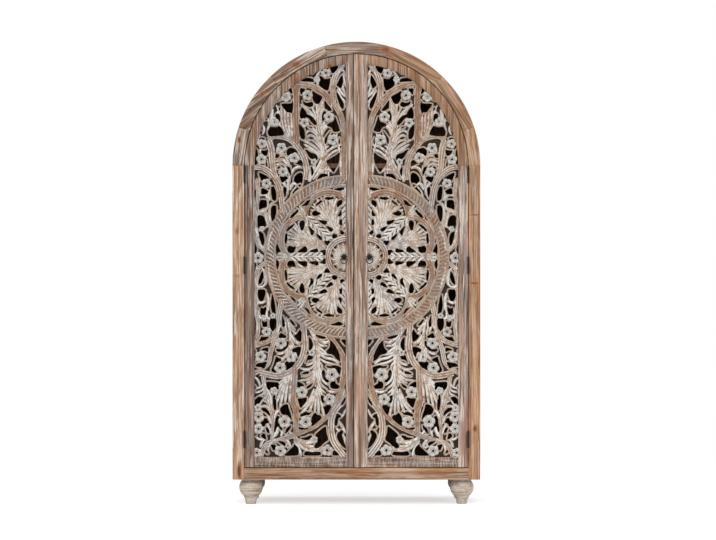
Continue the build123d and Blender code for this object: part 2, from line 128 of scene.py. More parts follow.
class CabinetColours(bpy.types.PropertyGroup):
    """Colours of the cabinet's finishes."""

    frame_wood: colour_setting("Frame Wood", "Tan of the face frame", 200, 162, 130)
    frame_deep: colour_setting("Frame Grain", "Darker grain of the face frame", 148, 108, 78)
    door_wood: colour_setting("Door Wood", "Greyer brown of the doors' boards", 182, 152, 132)
    door_deep: colour_setting("Door Grain", "Darker grain of the doors' boards", 126, 98, 84)
    warm_wood: colour_setting("Warm Wood", "Orange tan of the right-hand arch boards", 204, 160, 122)
    bead_wood: colour_setting("Bead Wood", "Lighter tan of the meeting bead", 200, 172, 148)
    carving_wood: colour_setting("Carving Wood", "Tan of the carving", 189, 165, 143)
    carving_grey: colour_setting("Carving Grey", "Mauve grey of the carving's weathered parts", 161, 149, 145)
    carving_deep: colour_setting("Carving Shade", "Orange brown left on the carving's ridges", 157, 119, 92)
    carving_wash: colour_setting("Carving Wash", "Chalky wash in the carving's cuts", 240, 236, 231)
    flower_paint: colour_setting("Flower Paint", "Grey cream of the flowers", 208, 204, 197)
    blush: colour_setting("Blush", "Pink left from an older paint", 188, 142, 124)
    wash: colour_setting("Whitewash", "Chalky wash in the grain", 232, 220, 206)
    foot_paint: colour_setting("Foot Paint", "Worn cream paint on the feet", 216, 204, 190)
    carcase_wood: colour_setting("Carcase Wood", "Brown of the sides, roof and shelves", 132, 98, 72)
    iron: colour_setting("Iron", "Blackened iron", 38, 30, 27)
    steel: colour_setting("Steel", "Plain steel", 150, 150, 152)


# ---------------------------------------------------------------- finishes
class Value:
    """A number, vector or colour that changes over a surface. Expressions on numbers add their nodes."""

    def __init__(self, tree, socket):
        self.tree, self.socket = tree, socket

    def maths(self, operation, *numbers):
        return self.tree.node("ShaderNodeMath", {"operation": operation}, dict(enumerate(numbers)))

    def __add__(self, other):
        return self.maths("ADD", self, other)

    def __radd__(self, other):
        return self.maths("ADD", other, self)

    def __sub__(self, other):
        return self.maths("SUBTRACT", self, other)

    def __rsub__(self, other):
        return self.maths("SUBTRACT", other, self)

    def __mul__(self, other):
        return self.maths("MULTIPLY", self, other)

    def __rmul__(self, other):
        return self.maths("MULTIPLY", other, self)

    def __truediv__(self, other):
        return self.maths("DIVIDE", self, other)

    def __rtruediv__(self, other):
        return self.maths("DIVIDE", other, self)

    def __pow__(self, other):
        return self.maths("POWER", self, other)

    def __rpow__(self, other):
        return self.maths("POWER", other, self)

    def __abs__(self):
        return self.maths("ABSOLUTE", self)


class Tree:
    """A tree of nodes and the ways of adding to it."""

    def __init__(self, tree):
        self.nodes, self.links = tree.nodes, tree.links
        self.nodes.clear()

    def node(self, kind, settings=None, sockets=None, output=0):
        made = self.nodes.new(kind)
        for name, value in (settings or {}).items():
            setattr(made, name, value)
        for name, value in (sockets or {}).items():
            if isinstance(value, Value):
                self.links.new(value.socket, made.inputs[name])
            else:
                made.inputs[name].default_value = value
        return Value(self, made.outputs[output])

    def end(self, kind, name, value):
        """Closes the tree with its output node."""
        self.links.new(value.socket, self.nodes.new(kind).inputs[name])

    def step(self, value, low, high, start=0.0, end=1.0):
        sockets = {"Value": value, "From Min": low, "From Max": high, "To Min": start, "To Max": end}
        return self.node("ShaderNodeMapRange", {"interpolation_type": "SMOOTHSTEP"}, sockets)

    def seen(self):
        """One where the camera looks, straight or by way of a shine or a glass."""
        straight, shine, glass = (
            self.node("ShaderNodeLightPath", output=f"Is {ray} Ray") for ray in ("Camera", "Glossy", "Transmission")
        )
        return straight + shine + glass


class Finish(Tree):
    """One finish of a surface."""

    def __init__(self, name):
        self.material = bpy.data.materials.new(name)
        self.material.use_nodes = True
        super().__init__(self.material.node_tree)

    def named(self, attribute, output):
        return self.node("ShaderNodeAttribute", {"attribute_name": attribute}, output=output)

    def place(self):
        """Where a point is, in the cabinet's own metres."""
        return self.node("ShaderNodeTexCoord", output="Object")

    def part(self, vector, axis):
        return self.node("ShaderNodeSeparateXYZ", sockets={0: vector}, output=axis)

    def joined(self, x, y, z):
        return self.node("ShaderNodeCombineXYZ", sockets={0: x, 1: y, 2: z})

    def stretched(self, vector, x, y, z):
        return self.node("ShaderNodeVectorMath", {"operation": "MULTIPLY"}, {0: vector, 1: (x, y, z)})

    def noise(self, vector, scale=1.0, detail=3.0, roughness=0.55, distortion=0.0):
        sockets = {"Vector": vector, "Scale": scale, "Detail": detail, "Roughness": roughness}
        return self.node("ShaderNodeTexNoise", {}, {**sockets, "Distortion": distortion})

    def mix(self, share, first, second, blend="MIX"):
        first, second = (c if isinstance(c, Value) else (*c, 1.0) for c in (first, second))
        settings = {"data_type": "RGBA", "blend_type": blend, "clamp_factor": True}
        return self.node("ShaderNodeMix", settings, {0: share, 6: first, 7: second}, output=2)

    def surface(self, colour, roughness, height, distance, strength, sheen=0.5, metallic=0.0):
        """Ends the finish in a shader whose bumps are as high as the distance at most."""
        bump = self.node("ShaderNodeBump", {}, {"Strength": strength, "Distance": distance, "Height": height})
        shader = self.node("ShaderNodeBsdfPrincipled", {}, {
            "Base Color": colour, "Roughness": roughness, "Metallic": metallic, "Specular IOR Level": sheen,
            "Normal": bump,
        })
        self.end("ShaderNodeOutputMaterial", "Surface", shader)
        return self.material


def shaded(colour, share):
    return tuple(min(1, c * share) for c in colour)


def planked(f, along, first, wide, round_roof):
    """Joints between boards: the grain moved on at each, where the joints are, and a shade for each board."""
    if round_roof:
        sides = {0: f.part(f.place(), "Z") - SPRING_Z, 1: f.part(f.place(), "X")}
        reached = f.node("ShaderNodeMath", {"operation": "ARCTAN2"}, sides) / wide
    else:
        reached = (f.part(along, "Y") - first) / wide
    number = f.node("ShaderNodeMath", {"operation": "FLOOR"}, {0: reached})
    joint = f.step(abs(reached - number - 0.5), 0.486, 0.497)
    board = f.node("ShaderNodeTexWhiteNoise", {"noise_dimensions": "1D"}, {"W": number})
    shift = f.joined(number * 3.7, number * 0.9, number * 0.4)
    return f.node("ShaderNodeVectorMath", {"operation": "ADD"}, {0: along, 1: shift}), joint, board


def wood_finish(
    name, pale, deep, blush, wash, wash_share, blush_share, knots=(), grain=None, cool=None, lined=0.5, sawn=0.0,
    planks=None,
):
    """Old planed boards: streaked grain, patches of older colour, and wash left in the pores.

    Each knot is its place across and up, its half width and half height, and its strength. Planks are where the
    first joint between boards lies and how far apart they are, in metres across or in radians round the roof."""
    f = Finish(name)
    if grain is None:
        along = f.named("grain", 1)
    else:
        along = f.joined(*(f.part(f.place(), axis) for axis in grain))
    if planks:
        along, joint, board = planked(f, along, *planks)
    wander = f.noise(f.stretched(along, 2.4, 14, 14), detail=2)
    fibres = f.noise(f.stretched(along, 12, 360, 260), detail=4, roughness=0.65)
    bands = f.noise(f.stretched(along, 2.4, 60, 50), distortion=0.5)
    patches = f.noise(f.stretched(along, 4.2, 22, 16), roughness=0.6)
    streaks = f.noise(f.stretched(along, 4.5, 150, 100), roughness=0.6)
    seams = f.noise(f.stretched(along, 3.6, 130, 90), roughness=0.6, distortion=0.3)
    chalk = f.noise(f.stretched(along, 6, 26, 20))
    rings = f.node("ShaderNodeMath", {"operation": "SINE"}, {0: f.part(along, "Y") * 300 + wander * 26})
    colour = f.mix(f.step(bands * 0.75 + fibres * 0.35, 0.44, 0.64), deep, pale)
    if cool is not None:
        greys = f.noise(f.stretched(along, 3, 48, 36), detail=2)
        colour = f.mix(f.step(greys, 0.49, 0.58) * 0.75, colour, cool)
    colour = f.mix(f.step(rings, 0.35, 1.0) * 0.30, colour, deep)
    colour = f.mix(f.step(patches, 0.53, 0.63) * blush_share, colour, blush)
    dark = shaded(deep, 0.34)
    ember = (min(1, deep[0] * 1.45), deep[1] * 1.02, deep[2] * 0.74)
    colour = f.mix(f.step(patches, 0.43, 0.34) * 0.65, colour, ember)
    if grain is None:
        tone = f.named("tone", 2)
        colour = f.mix(f.step(tone, 0.0, 1.0), colour, shaded(pale, 1.5))
        colour = f.mix(f.step(tone, 0.0, -1.0), colour, dark)
        wash_share = f.step(tone, 0.0, -1.0, 1.0, 0.35) * wash_share
    colour = f.mix(f.step(seams, 0.485, 0.415) * lined, colour, dark)
    pores = f.step(streaks + (fibres - 0.5) * 0.4, 0.51, 0.57) * f.step(chalk, 0.38, 0.56, 0.3, 1.0)
    colour = f.mix(pores * wash_share, colour, wash)
    if sawn:
        ticks = f.noise(f.stretched(along, 270, 30, 26), detail=2)
        colour = f.mix(f.step(ticks, 0.53, 0.60) * sawn, colour, wash)
        colour = f.mix(f.step(ticks, 0.48, 0.41) * sawn * 1.6, colour, dark)
    hollow = 0.0
    if planks:
        colour = f.mix(board * 0.3, colour, dark)
        colour = f.mix(joint * 0.85, colour, shaded(dark, 0.4))
        hollow = joint * 1.5
    for x, z, wide, tall, strength in knots:
        here = f.place()
        reach = ((f.part(here, "X") - x) / wide) ** 2 + ((f.part(here, "Z") - z) / tall) ** 2
        reach = reach + (wander - 0.5) * 1.2 + (fibres - 0.5) * 0.8
        colour = f.mix(f.step(reach, 2.6, 0.8) * strength, colour, ember)
        heart = f.step(reach, 1.0, 0.2)
        colour = f.mix(heart * strength, colour, dark)
        hollow = heart * 0.5 + hollow
    height = fibres * 0.6 + seams * 0.6 + rings * 0.05 - hollow
    return f.surface(colour, f.step(streaks, 0.3, 0.7, 0.62, 0.82), height, 0.0011, 0.6, sheen=0.25)


def carving_finish(colours):
    """Chiselled wood with pale wash in its cuts and edges and the old brown left on its ridges, with painted shade in
    its hollows and over the left door, and a painted warm light on the upper right.
    """
    f = Finish("carving")
    cut = f.named("cut", 1)  # wash, warmth, and how far the cut surface lies out of painted shade
    wash, warmth, unshaded = (f.part(cut, axis) for axis in "XYZ")
    place = f.place()
    grain = f.noise(f.stretched(place, 420, 300, 30), roughness=0.6)
    patches = f.noise(f.stretched(place, 30, 30, 20))
    areas = f.noise(f.stretched(place, 6, 6, 5), detail=2)
    rubbed = f.noise(f.stretched(place, 200, 200, 130), roughness=0.65)
    chalk = f.noise(f.stretched(place, 62, 62, 48), detail=2)
    to_left = f.part(place, "X") * -1
    cool = f.step(areas + f.step(to_left, 0.12, 0.42) * 0.14, 0.50, 0.64)
    warm = f.step(warmth + (patches - 0.5) * 2.4 - cool * 0.3, 0.1, 0.9)
    colour = f.mix(cool * 0.8, colours.carving_wood, colours.carving_grey)
    colour = f.mix(warm, colour, colours.carving_deep)
    colour = f.mix(f.step(warmth, 0.0, -0.5), colour, colours.flower_paint)
    colour = f.mix(f.step(patches, 0.54, 0.68) * 0.4, colour, colours.blush)
    colour = f.mix(f.step(grain, 0.46, 0.34) * 0.55, colour, shaded(colours.carving_deep, 0.45))
    pale = f.step(wash * f.step(chalk, 0.34, 0.62, 0.58, 1.06) + (rubbed - 0.5) * 0.9, 0.42, 0.85)
    # A painted warm light on the upper right: there the wash takes on the wood's tan.
    warm_light = f.step(f.part(place, "X"), -0.1, 0.35) * f.step(f.part(place, "Z"), 1.0, 1.4)
    colour = f.mix(pale * 0.94, colour, f.mix(warm_light * 0.45, colours.carving_wash, colours.carving_wood))
    # Painted shade, near black, in the cuts' grooves and edges, on the shapes' walls and on the ground between them;
    # the rubbed noise breaks up its edge.
    painted_shade = f.step(unshaded + (rubbed - 0.5) * 0.4, 0.66, 0.10)
    colour = f.mix(painted_shade * 0.97, colour, shaded(colours.carving_deep, 0.07))
    # Painted shade: the carving darker towards the left, over the left door.
    colour = f.mix(f.step(to_left, -0.15, 0.25) * 0.15, colour, (0.44, 0.42, 0.44), blend="MULTIPLY")
    height = rubbed * 0.5 + grain * 0.35
    return f.surface(colour, f.step(rubbed, 0.3, 0.7, 0.7, 0.88), height, 0.0012, 0.8, sheen=0.2)


def chalky_finish(name, paint, under):
    """Worn paint on turned wood, thin on the sharp edges, with painted shade in its groove and at its top under the
    cabinet.
    """
    f = Finish(name)
    place = f.place()
    cloud = f.noise(f.stretched(place, 30, 30, 60), detail=4, roughness=0.65)
    turned = f.noise(f.stretched(place, 8, 8, 900), detail=2)
    chips = f.noise(place, 150, detail=4, roughness=0.7)
    rings = f.noise(f.stretched(place, 9, 9, 210), roughness=0.6)
    colour = f.mix(f.step(cloud, 0.46, 0.62) * 0.45, paint, under)
    colour = f.mix(f.step(rings, 0.53, 0.60) * 0.6, colour, shaded(under, 0.7))
    colour = f.mix(f.step(chips, 0.60, 0.68) * 0.7, colour, shaded(under, 0.5))
    colour = f.mix(f.step(turned, 0.55, 0.75) * 0.2, colour, under)
    # Painted shade where the cut's third number is low: the feet's groove and their tops under the cabinet.
    painted_shade = f.step(f.part(f.named("cut", 1), "Z"), 0.35, 0.0)
    colour = f.mix(painted_shade * 0.8, colour, shaded(under, 0.25))
    height = turned * 0.4 + chips * 0.5 + cloud * 0.3
    return f.surface(colour, f.step(chips, 0.3, 0.7, 0.68, 0.85), height, 0.001, 0.7)


def iron_finish(name, tint, rough=0.6, metallic=0.15):
    """Forged and blackened iron with a little rust where hands rub it, and painted highlights on its hammer marks."""
    f = Finish(name)
    place = f.place()
    hammer_marks_and_glints = f.noise(place, 260)
    rust = f.noise(place, 90, detail=4, roughness=0.7)
    colour = f.mix(f.step(rust, 0.58, 0.72) * 0.3, tint, linear(70, 46, 34))
    # Painted highlights: lighter patches on the hammer marks.
    colour = f.mix(f.step(hammer_marks_and_glints, 0.6, 0.75) * 0.4, colour, shaded(tint, 1.5))
    height = hammer_marks_and_glints * 0.7 + rust * 0.5
    rough = f.step(hammer_marks_and_glints, 0.3, 0.7, rough - 0.1, rough + 0.15)
    return f.surface(colour, rough, height, 0.0006, 0.6, sheen=0.2, metallic=metallic)


def plastic_finish(name, tint):
    """Moulded plastic with a fine grain."""
    f = Finish(name)
    grain = f.noise(f.place(), 900, detail=2)
    colour = f.mix(f.step(grain, 0.3, 0.7) * 0.3, tint, shaded(tint, 0.6))
    return f.surface(colour, f.step(grain, 0.3, 0.7, 0.4, 0.55), grain, 0.0002, 0.4)


# Knots: across, up, half width, half height, strength.
FRAME_KNOTS = (
    (-0.481, 0.140, 0.008, 0.030, 0.9), (-0.480, 1.497, 0.006, 0.012, 0.8), (0.486, 0.313, 0.007, 0.014, 0.8),
    (-0.246, 1.806, 0.020, 0.014, 0.45), (0.118, 1.868, 0.020, 0.012, 0.6), (-0.386, 1.686, 0.010, 0.012, 0.4),
    (0.484, 0.91, 0.022, 0.004, 0.7), (0.484, 1.19, 0.022, 0.003, 0.6), (-0.489, 1.124, 0.007, 0.014, 0.5),
    (-0.490, 0.943, 0.016, 0.0016, 0.7), (-0.490, 0.936, 0.016, 0.0013, 0.6),
)
DOOR_KNOTS = (
    (-0.110, 1.800, 0.012, 0.010, 0.55), (-0.060, 1.700, 0.006, 0.030, 0.5), (-0.452, 0.80, 0.006, 0.030, 0.35),
    (-0.440, 0.36, 0.008, 0.060, 0.4), (-0.250, 1.735, 0.016, 0.020, 0.4),
)


def make_finishes():
    c = bpy.context.scene.cabinet_colours
    side_boards = (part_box("side_panel_left")[0].y, 0.0977, False)
    roof_boards = (0.0, math.radians(15), True)
    back_boards = (-0.49, 0.196, False)
    # Each wood: its pale and deep colours, how much wash and blush it carries, and what else sets it apart.
    woods = {
        "frame": (c.frame_wood, c.frame_deep, 0.8, 0.5, {"knots": FRAME_KNOTS}),
        "door": (c.door_wood, c.door_deep, 0.8, 0.7, {"knots": DOOR_KNOTS, "cool": c.carving_grey, "lined": 0.65}),
        "rail": (c.frame_wood, c.door_deep, 0.5, 0.4, {"cool": c.carving_grey, "lined": 0.6, "sawn": 0.3}),
        "bead": (c.bead_wood, c.frame_deep, 0.9, 0.3, {"cool": c.door_wood}),
        "shelf": (c.carcase_wood, c.door_deep, 0.1, 0.1, {}),
        "tan": (c.warm_wood, c.frame_deep, 0.4, 0.4, {"knots": FRAME_KNOTS, "lined": 0.55}),
        "arch": (
            c.frame_wood, c.frame_deep, 0.95, 0.5,
            {"knots": FRAME_KNOTS + DOOR_KNOTS, "cool": c.carving_grey, "lined": 0.8},
        ),
        "side": (c.frame_wood, c.frame_deep, 0.45, 0.4, {"grain": "ZYX", "lined": 0.4, "planks": side_boards}),
        "roof": (c.frame_wood, c.frame_deep, 0.45, 0.4, {"grain": "YXZ", "lined": 0.4, "planks": roof_boards}),
        "back": (c.carcase_wood, c.door_deep, 0.12, 0.15, {"grain": "ZXY", "lined": 0.4, "planks": back_boards}),
        "inner": (c.carcase_wood, c.door_deep, 0.08, 0.1, {"grain": "XYZ"}),
    }
    return {
        "carving": carving_finish(c),
        "foot": chalky_finish("foot_paint", c.foot_paint, linear(150, 122, 98)),
        "iron": iron_finish("black_iron", c.iron),
        "steel": iron_finish("steel", c.steel, 0.35, 1.0),
        "plastic": plastic_finish("catch_plastic", linear(52, 40, 32)),
        **{
            key: wood_finish(key + "_wood", pale, deep, c.blush, c.wash, wash_share, blush_share, **more)
            for key, (pale, deep, wash_share, blush_share, more) in woods.items()
        },
    }


FINISHES = {}


def finish_for(key):
    if not FINISHES:
        FINISHES.update(make_finishes())
    return FINISHES[key]


# ---------------------------------------------------------------- building helpers
def new_piece(name, mesh, finish, body, nodes=()):
    """A finished piece at the origin, riding on its body and standing for its nodes."""
    piece = bpy.data.objects.new(name, mesh)
    bpy.context.scene.collection.objects.link(piece)
    mesh.materials.clear()
    mesh.materials.append(finish_for(finish))
    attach(piece, body)
    if nodes:
        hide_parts(*nodes)


def soften(mesh, degrees):
    mesh.shade_smooth()
    mesh.set_sharp_from_angle(angle=math.radians(degrees))


def mesh_from(work, name, degrees):
    """A mesh with its faces outwards and its gentle edges smooth."""
    bmesh.ops.recalc_face_normals(work, faces=work.faces)
    mesh = bpy.data.meshes.new(name)
    work.to_mesh(mesh)
    work.free()
    soften(mesh, degrees)
    return mesh


def mesh_of(name, points, faces, cut, degrees):
    """The same from plain lists, with the cut of each point and without points that no face uses."""
    mesh = bpy.data.meshes.new(name + "_sheet")
    mesh.from_pydata(points, [], faces)
    store(mesh, "cut", cut)
    work = bmesh.new()
    work.from_mesh(mesh)
    bpy.data.meshes.remove(mesh)
    bmesh.ops.delete(work, geom=[vertex for vertex in work.verts if not vertex.link_faces], context="VERTS")
    return mesh_from(work, name, degrees)


def worn_copy(node, round_by):
    """A node's own board with its triangles merged and its edges rounded by wear."""
    mesh = frame["nodes"][node].data.copy()
    mesh.name = "worn_" + node
    work = bmesh.new()
    work.from_mesh(mesh)
    bmesh.ops.remove_doubles(work, verts=work.verts, dist=1e-5)
    flat = math.radians(0.4)
    bmesh.ops.dissolve_limit(
        work, angle_limit=flat, verts=work.verts, edges=work.edges, use_dissolve_boundaries=False
    )
    edges = [e for e in work.edges if len(e.link_faces) == 2 and e.calc_face_angle(0) > math.radians(28)]
    bmesh.ops.bevel(
        work, geom=edges, offset=round_by, offset_type="OFFSET", segments=2, profile=0.5, affect="EDGES",
        clamp_overlap=True,
    )
    bmesh.ops.triangulate(work, faces=[face for face in work.faces if len(face.verts) > 4])
    work.to_mesh(mesh)
    work.free()
    soften(mesh, 38)
    return mesh


def store(mesh, name, values):
    """Keeps a number or a vector for each point of a mesh under a name."""
    vectors = hasattr(values[0], "__len__")
    kept = mesh.attributes.new(name, "FLOAT_VECTOR" if vectors else "FLOAT", "POINT")
    flat = [number for vector in values for number in vector] if vectors else values
    kept.data.foreach_set("vector" if vectors else "value", flat)


def set_grain(mesh, angle, offset, tone):
    """Which way a board's fibres run in the front view, where in the tree it came from, and its tone."""
    cos, sin = math.cos(angle), math.sin(angle)
    grain = []
    for x, y, z in (vertex.co for vertex in mesh.vertices):
        grain.append((x * cos + z * sin + offset, z * cos - x * sin + 3.1 * offset, y + offset))
    store(mesh, "grain", grain)
    store(mesh, "tone", [tone] * len(grain))


# Each board: its finish, its slot, which way its fibres run in degrees, and its tone.
BOARDS = {
    "frame_stile_left": ("frame", "wood_frame", 90, 0.14),
    "frame_stile_right": ("tan", "wood_frame", 90, 0.11),
    "frame_bottom_rail": ("tan", "wood_frame", 0, -0.34),
    "frame_arch_segment_1": ("tan", "wood_frame", 99, -0.07),
    "frame_arch_segment_2": ("tan", "wood_frame", 122, -0.07),
    "frame_arch_segment_3": ("tan", "wood_frame", 150.5, -0.26),
    "frame_arch_segment_4": ("arch", "wood_frame", 180, -0.5),
    "frame_arch_segment_5": ("arch", "wood_frame", 211, -0.5),
    "frame_arch_segment_6": ("arch", "wood_frame", 216, -0.55),
    "frame_arch_segment_7": ("arch", "wood_frame", 261, -0.5),
    "hinge_stile_left": ("door", "wood_door", 90, -0.5),
    "hinge_stile_right": ("door", "wood_door", 90, 0.06),
    "meeting_stile_left": ("door", "wood_door", 90, -0.32),
    "meeting_stile_right": ("door", "wood_door", 90, 0.28),
    "door_bottom_rail_left": ("rail", "wood_door", 0, -0.47),
    "door_bottom_rail_right": ("rail", "wood_door", 0, -0.24),
    "arch_rail_outer_left": ("arch", "wood_door", 90, -0.54),
    "arch_rail_inner_left": ("arch", "wood_door", 90, -0.6),
    "arch_rail_outer_right": ("tan", "wood_door", 90, -0.3),
    "arch_rail_inner_right": ("tan", "wood_door", 90, -0.34),
    "meeting_bead": ("bead", "wood_bead", 90, -0.02),
    "shelf_lower": ("shelf", "wood_carcase", 0, 0.1),
    "shelf_middle": ("shelf", "wood_carcase", 0, 0.1),
    "shelf_upper": ("shelf", "wood_carcase", 0, 0.1),
}
# The boards and fittings that keep their own shape, by finish.
PLAIN_NODES = {
    "side": ("side_panel_left", "side_panel_right"),
    "roof": ("roof_staves",),
    "back": ("back_boards", "panel_bead_left", "panel_bead_right"),
    "inner": ("bottom_board", "rear_rail", "shelf_cleats", "corner_blocks"),
    "steel": ("foot_bolts", "strike_plate_left", "strike_plate_right"),
    "plastic": ("magnet_catches",),
}

WHITE = (1, 1, 1, 1)
FLOOR_REACH, CORNERS = 14, ((-1, -1), (1, -1), (1, 1), (-1, 1))
# A lamp: its name, place, width and power. All of them are aimed at one spot.
LAMPS = (
    ("key", (-3.4, -5.6, 3.9), 2.6, 150),
    ("fill", (3.8, -5.0, 2.4), 3.0, 95),
    ("top", (0.0, -0.4, 5.2), 3.0, 60),
)
LAMPS_AIM = (0, 0, 0.95)
CAMERA_AT, CAMERA_LENS = (0.0066, FACE_Y - 11.0, 0.964), 134.9


class CABINET_OT_stage(bpy.types.Operator):
    """Lays the floor, hangs the lamps and sets the camera"""

    bl_idname = "cabinet.stage"
    bl_label = "Floor, Light and Camera"

    def execute(self, context):
        scene = context.scene
        scene.view_settings.view_transform = "Standard"
        self.lay_floor(scene)
        self.light_world(scene)
        self.hang_lamps(scene)
        self.set_camera(scene)
        return {"FINISHED"}

    def lay_floor(self, scene):
        """A pale floor that fades to white away from the cabinet."""
        mesh = bpy.data.meshes.new("floor")
        mesh.from_pydata([(x * FLOOR_REACH, y * FLOOR_REACH, 0) for x, y in CORNERS], [], [(0, 1, 2, 3)])
        floor = bpy.data.objects.new("floor", mesh)
        scene.collection.objects.link(floor)
        f = Finish("studio_floor")
        seen = f.seen()
        matt = f.node("ShaderNodeBsdfDiffuse", {}, {"Color": (0.78, 0.78, 0.78, 1)})
        glow = f.node("ShaderNodeEmission", {}, {"Color": WHITE, "Strength": seen * 0.56})
        near = f.node("ShaderNodeAddShader", {}, {0: matt, 1: glow})
        white = f.node("ShaderNodeEmission", {}, {"Color": WHITE, "Strength": seen})
        away = f.node("ShaderNodeVectorMath", {"operation": "LENGTH"}, {0: f.place()}, output="Value")
        faded = f.node("ShaderNodeMixShader", {}, {0: f.step(away, 1.2, 3.0), 1: near, 2: white})
        f.end("ShaderNodeOutputMaterial", "Surface", faded)
        mesh.materials.append(f.material)

    def light_world(self, scene):
        """White where it is looked at and softer as a light."""
        world = bpy.data.worlds.new("studio")
        scene.world = world
        world.use_nodes = True
        w = Tree(world.node_tree)
        strength = w.step(w.seen(), 0.0, 1.0, 0.62, 1.0)
        sky = w.node("ShaderNodeBackground", {}, {"Color": WHITE, "Strength": strength})
        w.end("ShaderNodeOutputWorld", "Surface", sky)

    def hang_lamps(self, scene):
        for name, where, size, watts in LAMPS:
            data = bpy.data.lights.new(name, "AREA")
            data.shape, data.size, data.energy = "SQUARE", size, watts
            lamp = bpy.data.objects.new(name, data)
            scene.collection.objects.link(lamp)
            lamp.location = where
            lamp.rotation_euler = (Vector(LAMPS_AIM) - Vector(where)).to_track_quat("-Z", "Y").to_euler()

    def set_camera(self, scene):
        data = bpy.data.cameras.new("camera")
        data.lens, data.sensor_width, data.clip_end = CAMERA_LENS, 36, 60
        camera = bpy.data.objects.new("camera", data)
        scene.collection.objects.link(camera)
        camera.location = CAMERA_AT
        camera.rotation_euler = (math.radians(90), 0, 0)
        scene.camera = camera


class CABINET_OT_boards(bpy.types.Operator):
    """Planes and wears the boards of the face frame, the doors and the shelves"""

    bl_idname = "cabinet.boards"
    bl_label = "Boards"

    def execute(self, context):
        for number, (node, (finish, slot, degrees, tone)) in enumerate(BOARDS.items(), start=1):
            mesh = worn_copy(node, context.scene.cabinet_sizes.edge_round)
            set_grain(mesh, math.radians(degrees), 0.731 * number, tone)
            new_piece("worn_" + node, mesh, finish, frame["nodes"][node]["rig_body"], [node])
        return {"FINISHED"}


class CABINET_OT_plain_nodes(bpy.types.Operator):
    """Gives the boards and fittings whose shape is already right their finishes"""

    bl_idname = "cabinet.plain_nodes"
    bl_label = "Carcase and Fittings"

    def execute(self, context):
        for finish, nodes in PLAIN_NODES.items():
            for node in nodes:
                materials = frame["nodes"][node].data.materials
                materials.clear()
                materials.append(finish_for(finish))
        return {"FINISHED"}


# ---------------------------------------------------------------- turned feet
# Radius and height, from the floor up.
FOOT_OUTLINE = [
    (0.0, 0.0), (0.0195, 0.0), (0.0210, 0.0012), (0.0222, 0.008), (0.0243, 0.017), (0.0275, 0.026), (0.0308, 0.0325),
    (0.0318, 0.0350), (0.0325, 0.0362), (0.0362, 0.0366), (0.0372, 0.0385), (0.0400, 0.0425), (0.0445, 0.0490),
    (0.0476, 0.0565), (0.0490, 0.0655), (0.0487, 0.0745), (0.0468, 0.0825), (0.0438, 0.0890), (0.0404, 0.0938),
    (0.0384, 0.0962), (0.0376, 0.0985), (0.0380, 0.1008), (0.0380, 0.1040), (0.0, 0.1040),
]
FOOT_GROOVE = 0.0345  # where painted shade darkens the groove above the ankle


def lathe(work, outline, centre=(0, 0, 0), turns=24, closed=False):
    """Turns an outline of radius and height about an upright line; returns the new points."""
    rings = []
    for radius, up in outline:
        count = 1 if radius == 0 else turns
        ring = []
        for number in range(count):
            turn = 2 * math.pi * number / turns
            point = (centre[0] + radius * math.cos(turn), centre[1] + radius * math.sin(turn), centre[2] + up)
            ring.append(work.verts.new(point))
        rings.append(ring)
    for low, high in zip(rings, rings[1:] + (rings[:1] if closed else [])):
        for number in range(turns):
            after = (number + 1) % turns
            if len(low) == 1:
                work.faces.new((low[0], high[after], high[number]))
            elif len(high) == 1:
                work.faces.new((low[number], low[after], high[0]))
            else:
                work.faces.new((low[number], low[after], high[after], high[number]))
    return [vertex for ring in rings for vertex in ring]


class CABINET_OT_feet(bpy.types.Operator):
    """Turns the four squat feet"""

    bl_idname = "cabinet.feet"
    bl_label = "Turned Feet"

    def execute(self, context):
        for row in ("front", "rear"):
            low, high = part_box("feet_" + row)
            middle_y = (low.y + high.y) / 2
            middle_x = high.x - max(radius for radius, _ in FOOT_OUTLINE)
            work = bmesh.new()
            for side in SIDES.values():
                lathe(work, FOOT_OUTLINE, (side * middle_x, middle_y, 0), context.scene.cabinet_sizes.foot_turns)
            mesh = mesh_from(work, "turned_feet_" + row, 35)
            cut = []
            for up in (vertex.co.z for vertex in mesh.vertices):
                # How far out of painted shade: shaded in the groove and near the top, under the cabinet.
                open_air = min(abs(up - FOOT_GROOVE) / 0.004, (FOOT_HEIGHT - up) / 0.02 + 0.05)
                cut.append((0.0, 0.0, max(0.0, min(1.0, open_air))))
            store(mesh, "cut", cut)
            new_piece("turned_feet_" + row, mesh, "foot", "cabinet", ["feet_" + row])
        return {"FINISHED"}


# ---------------------------------------------------------------- ironwork
HINGE_MIDDLES = (0.270, 0.984, 1.356)
HINGE_TALL, KNUCKLE, BARREL_Y, BARREL_RADIUS, PIN_RADIUS = 0.070, 0.070 / 3, -0.004, 0.00375, 0.00175
LEAF_REACH, LEAF_THICK, HINGE_PLAY, HINGE_GAP, RIM_EASE = 0.022, 0.0012, 0.0003, 0.003, 0.0005
PIN_LAP = 0.004  # how far a pin runs on into the knuckles above and below
# Radius and height outwards from a knuckle's end, and out of a leaf.
PIN_HEAD = ((0.0, 0.0011), (0.0011, 0.0009), (0.0018, 0.0003), (0.0020, -0.001), (0.0, -0.001))
SCREW_HEAD = ((0.0, 0.00016), (0.0022, 0.00012), (0.0028, 0.0), (0.0, -0.0002))
SCREWS_UP, SCREWS_IN = (-0.024, 0.0, 0.024), 0.0115

